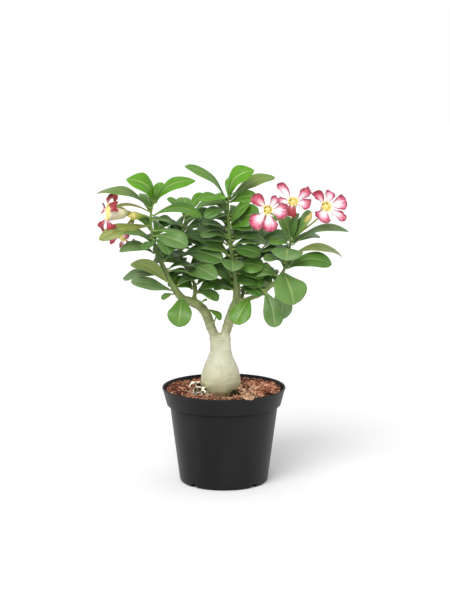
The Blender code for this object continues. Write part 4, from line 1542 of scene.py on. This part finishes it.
def add_sun():
    """The key light, and the only one besides the world."""
    data = bpy.data.lights.new("key", "SUN")
    data.energy = SUN_POWER
    data.angle = math.radians(SUN_WIDTH)
    data.color = SUN_COLOUR
    made = bpy.data.objects.new("key", data)
    made.location = SUN_PLACE
    made.rotation_mode = "QUATERNION"
    made.rotation_quaternion = (Vector(SUN_AIM) - Vector(SUN_PLACE)).to_track_quat("-Z", "Y")
    bpy.context.scene.collection.objects.link(made)


def build_stage():
    """The camera, the studio's light and a plain pale floor."""
    scene = bpy.context.scene
    scene.view_settings.view_transform = "Standard"
    camera = bpy.data.objects.new("camera", bpy.data.cameras.new("camera"))
    camera.data.lens = CAMERA_LENS
    camera.data.sensor_width = CAMERA_SENSOR
    camera.data.clip_end = 50
    camera.location = CAMERA_PLACE
    camera.rotation_euler = (math.radians(90 - CAMERA_TILT), 0, 0)
    scene.collection.objects.link(camera)
    scene.camera = camera

    world = bpy.data.worlds.new("studio")
    world.use_nodes = True
    tree = world.node_tree
    # White near the horizon and greyer overhead, so that the key light shapes the plant.
    height = node(tree, "SeparateXYZ", Vector=node(tree, "TexCoord").outputs["Generated"]).outputs[2]
    sky = colour_ramp(tree, height, (
        (0.12, (1.0, 1.0, 1.0)),
        (0.45, (0.70, 0.70, 0.70)),
    ))
    plug(tree, tree.nodes["Background"], Color=sky, Strength=1.0)
    scene.world = world
    add_sun()

    bpy.ops.mesh.primitive_grid_add(x_subdivisions=8, y_subdivisions=8, size=14, location=(0, 0, -0.0003))
    floor = bpy.context.object
    floor.name = "floor"
    white, tree, shader = new_material("studio_white")
    dapple = clouds(tree, 1.5, 2, 0.5)
    paint = blend(tree, dapple, (0.90, 0.90, 0.90), (0.92, 0.92, 0.92))
    plug(tree, shader, Base_Color=paint, Roughness=0.95, Specular_IOR_Level=0.1)
    floor.data.materials.append(white)


def main():
    build_stage()
    build_pot(pot_material())
    mix = bark_material("bark_mix_chips", (
        (0.08, (0.018, 0.007, 0.004)),
        (0.30, (0.085, 0.026, 0.013)),
        (0.52, (0.23, 0.068, 0.036)),
        (0.72, (0.36, 0.125, 0.070)),
        (0.98, (0.66, 0.34, 0.21)),
    ))
    # The moss's near-black stops are partly painted shade.
    moss = bark_material("moss_and_painted_shade", (
        (0.0, (0.006, 0.005, 0.003)),
        (0.5, (0.030, 0.028, 0.010)),
        (1.0, (0.34, 0.30, 0.10)),
    ))
    tan = bark_material("tan_bark", (
        (0.15, (0.055, 0.022, 0.012)),
        (0.45, (0.28, 0.135, 0.070)),
        (0.85, (0.66, 0.42, 0.27)),
    ), (1, 0.2, 1))
    pale = bark_material("dry_rootlet", (
        (0.05, (0.055, 0.024, 0.012)),
        (0.35, (0.26, 0.15, 0.08)),
        (0.60, (0.76, 0.67, 0.46)),
        (0.95, (0.92, 0.89, 0.74)),
    ))
    build_mix(mix, moss, tan, pale)
    build_stems(stem_material())
    leaf = leaf_material()
    dice = random.Random(SEED + 2)
    for group, leaves in LEAVES.items():
        for number, looks in enumerate(leaves, 1):
            cad_leaf(f"{group}_leaf_{number}", looks, leaf, dice)
    for shoot in INNER_LEAVES:
        inner_leaves(shoot, leaf, dice)
    petal = petal_material()
    green = stalk_material()
    for name in FLOWER_HABITS:
        build_flower(name, petal, green, dice)
    build_bud("right_bud", 1.1, 0.8, 0.25, green)
    build_bud("left_bud", 1.35, 0.72, 0.15, green)


main()
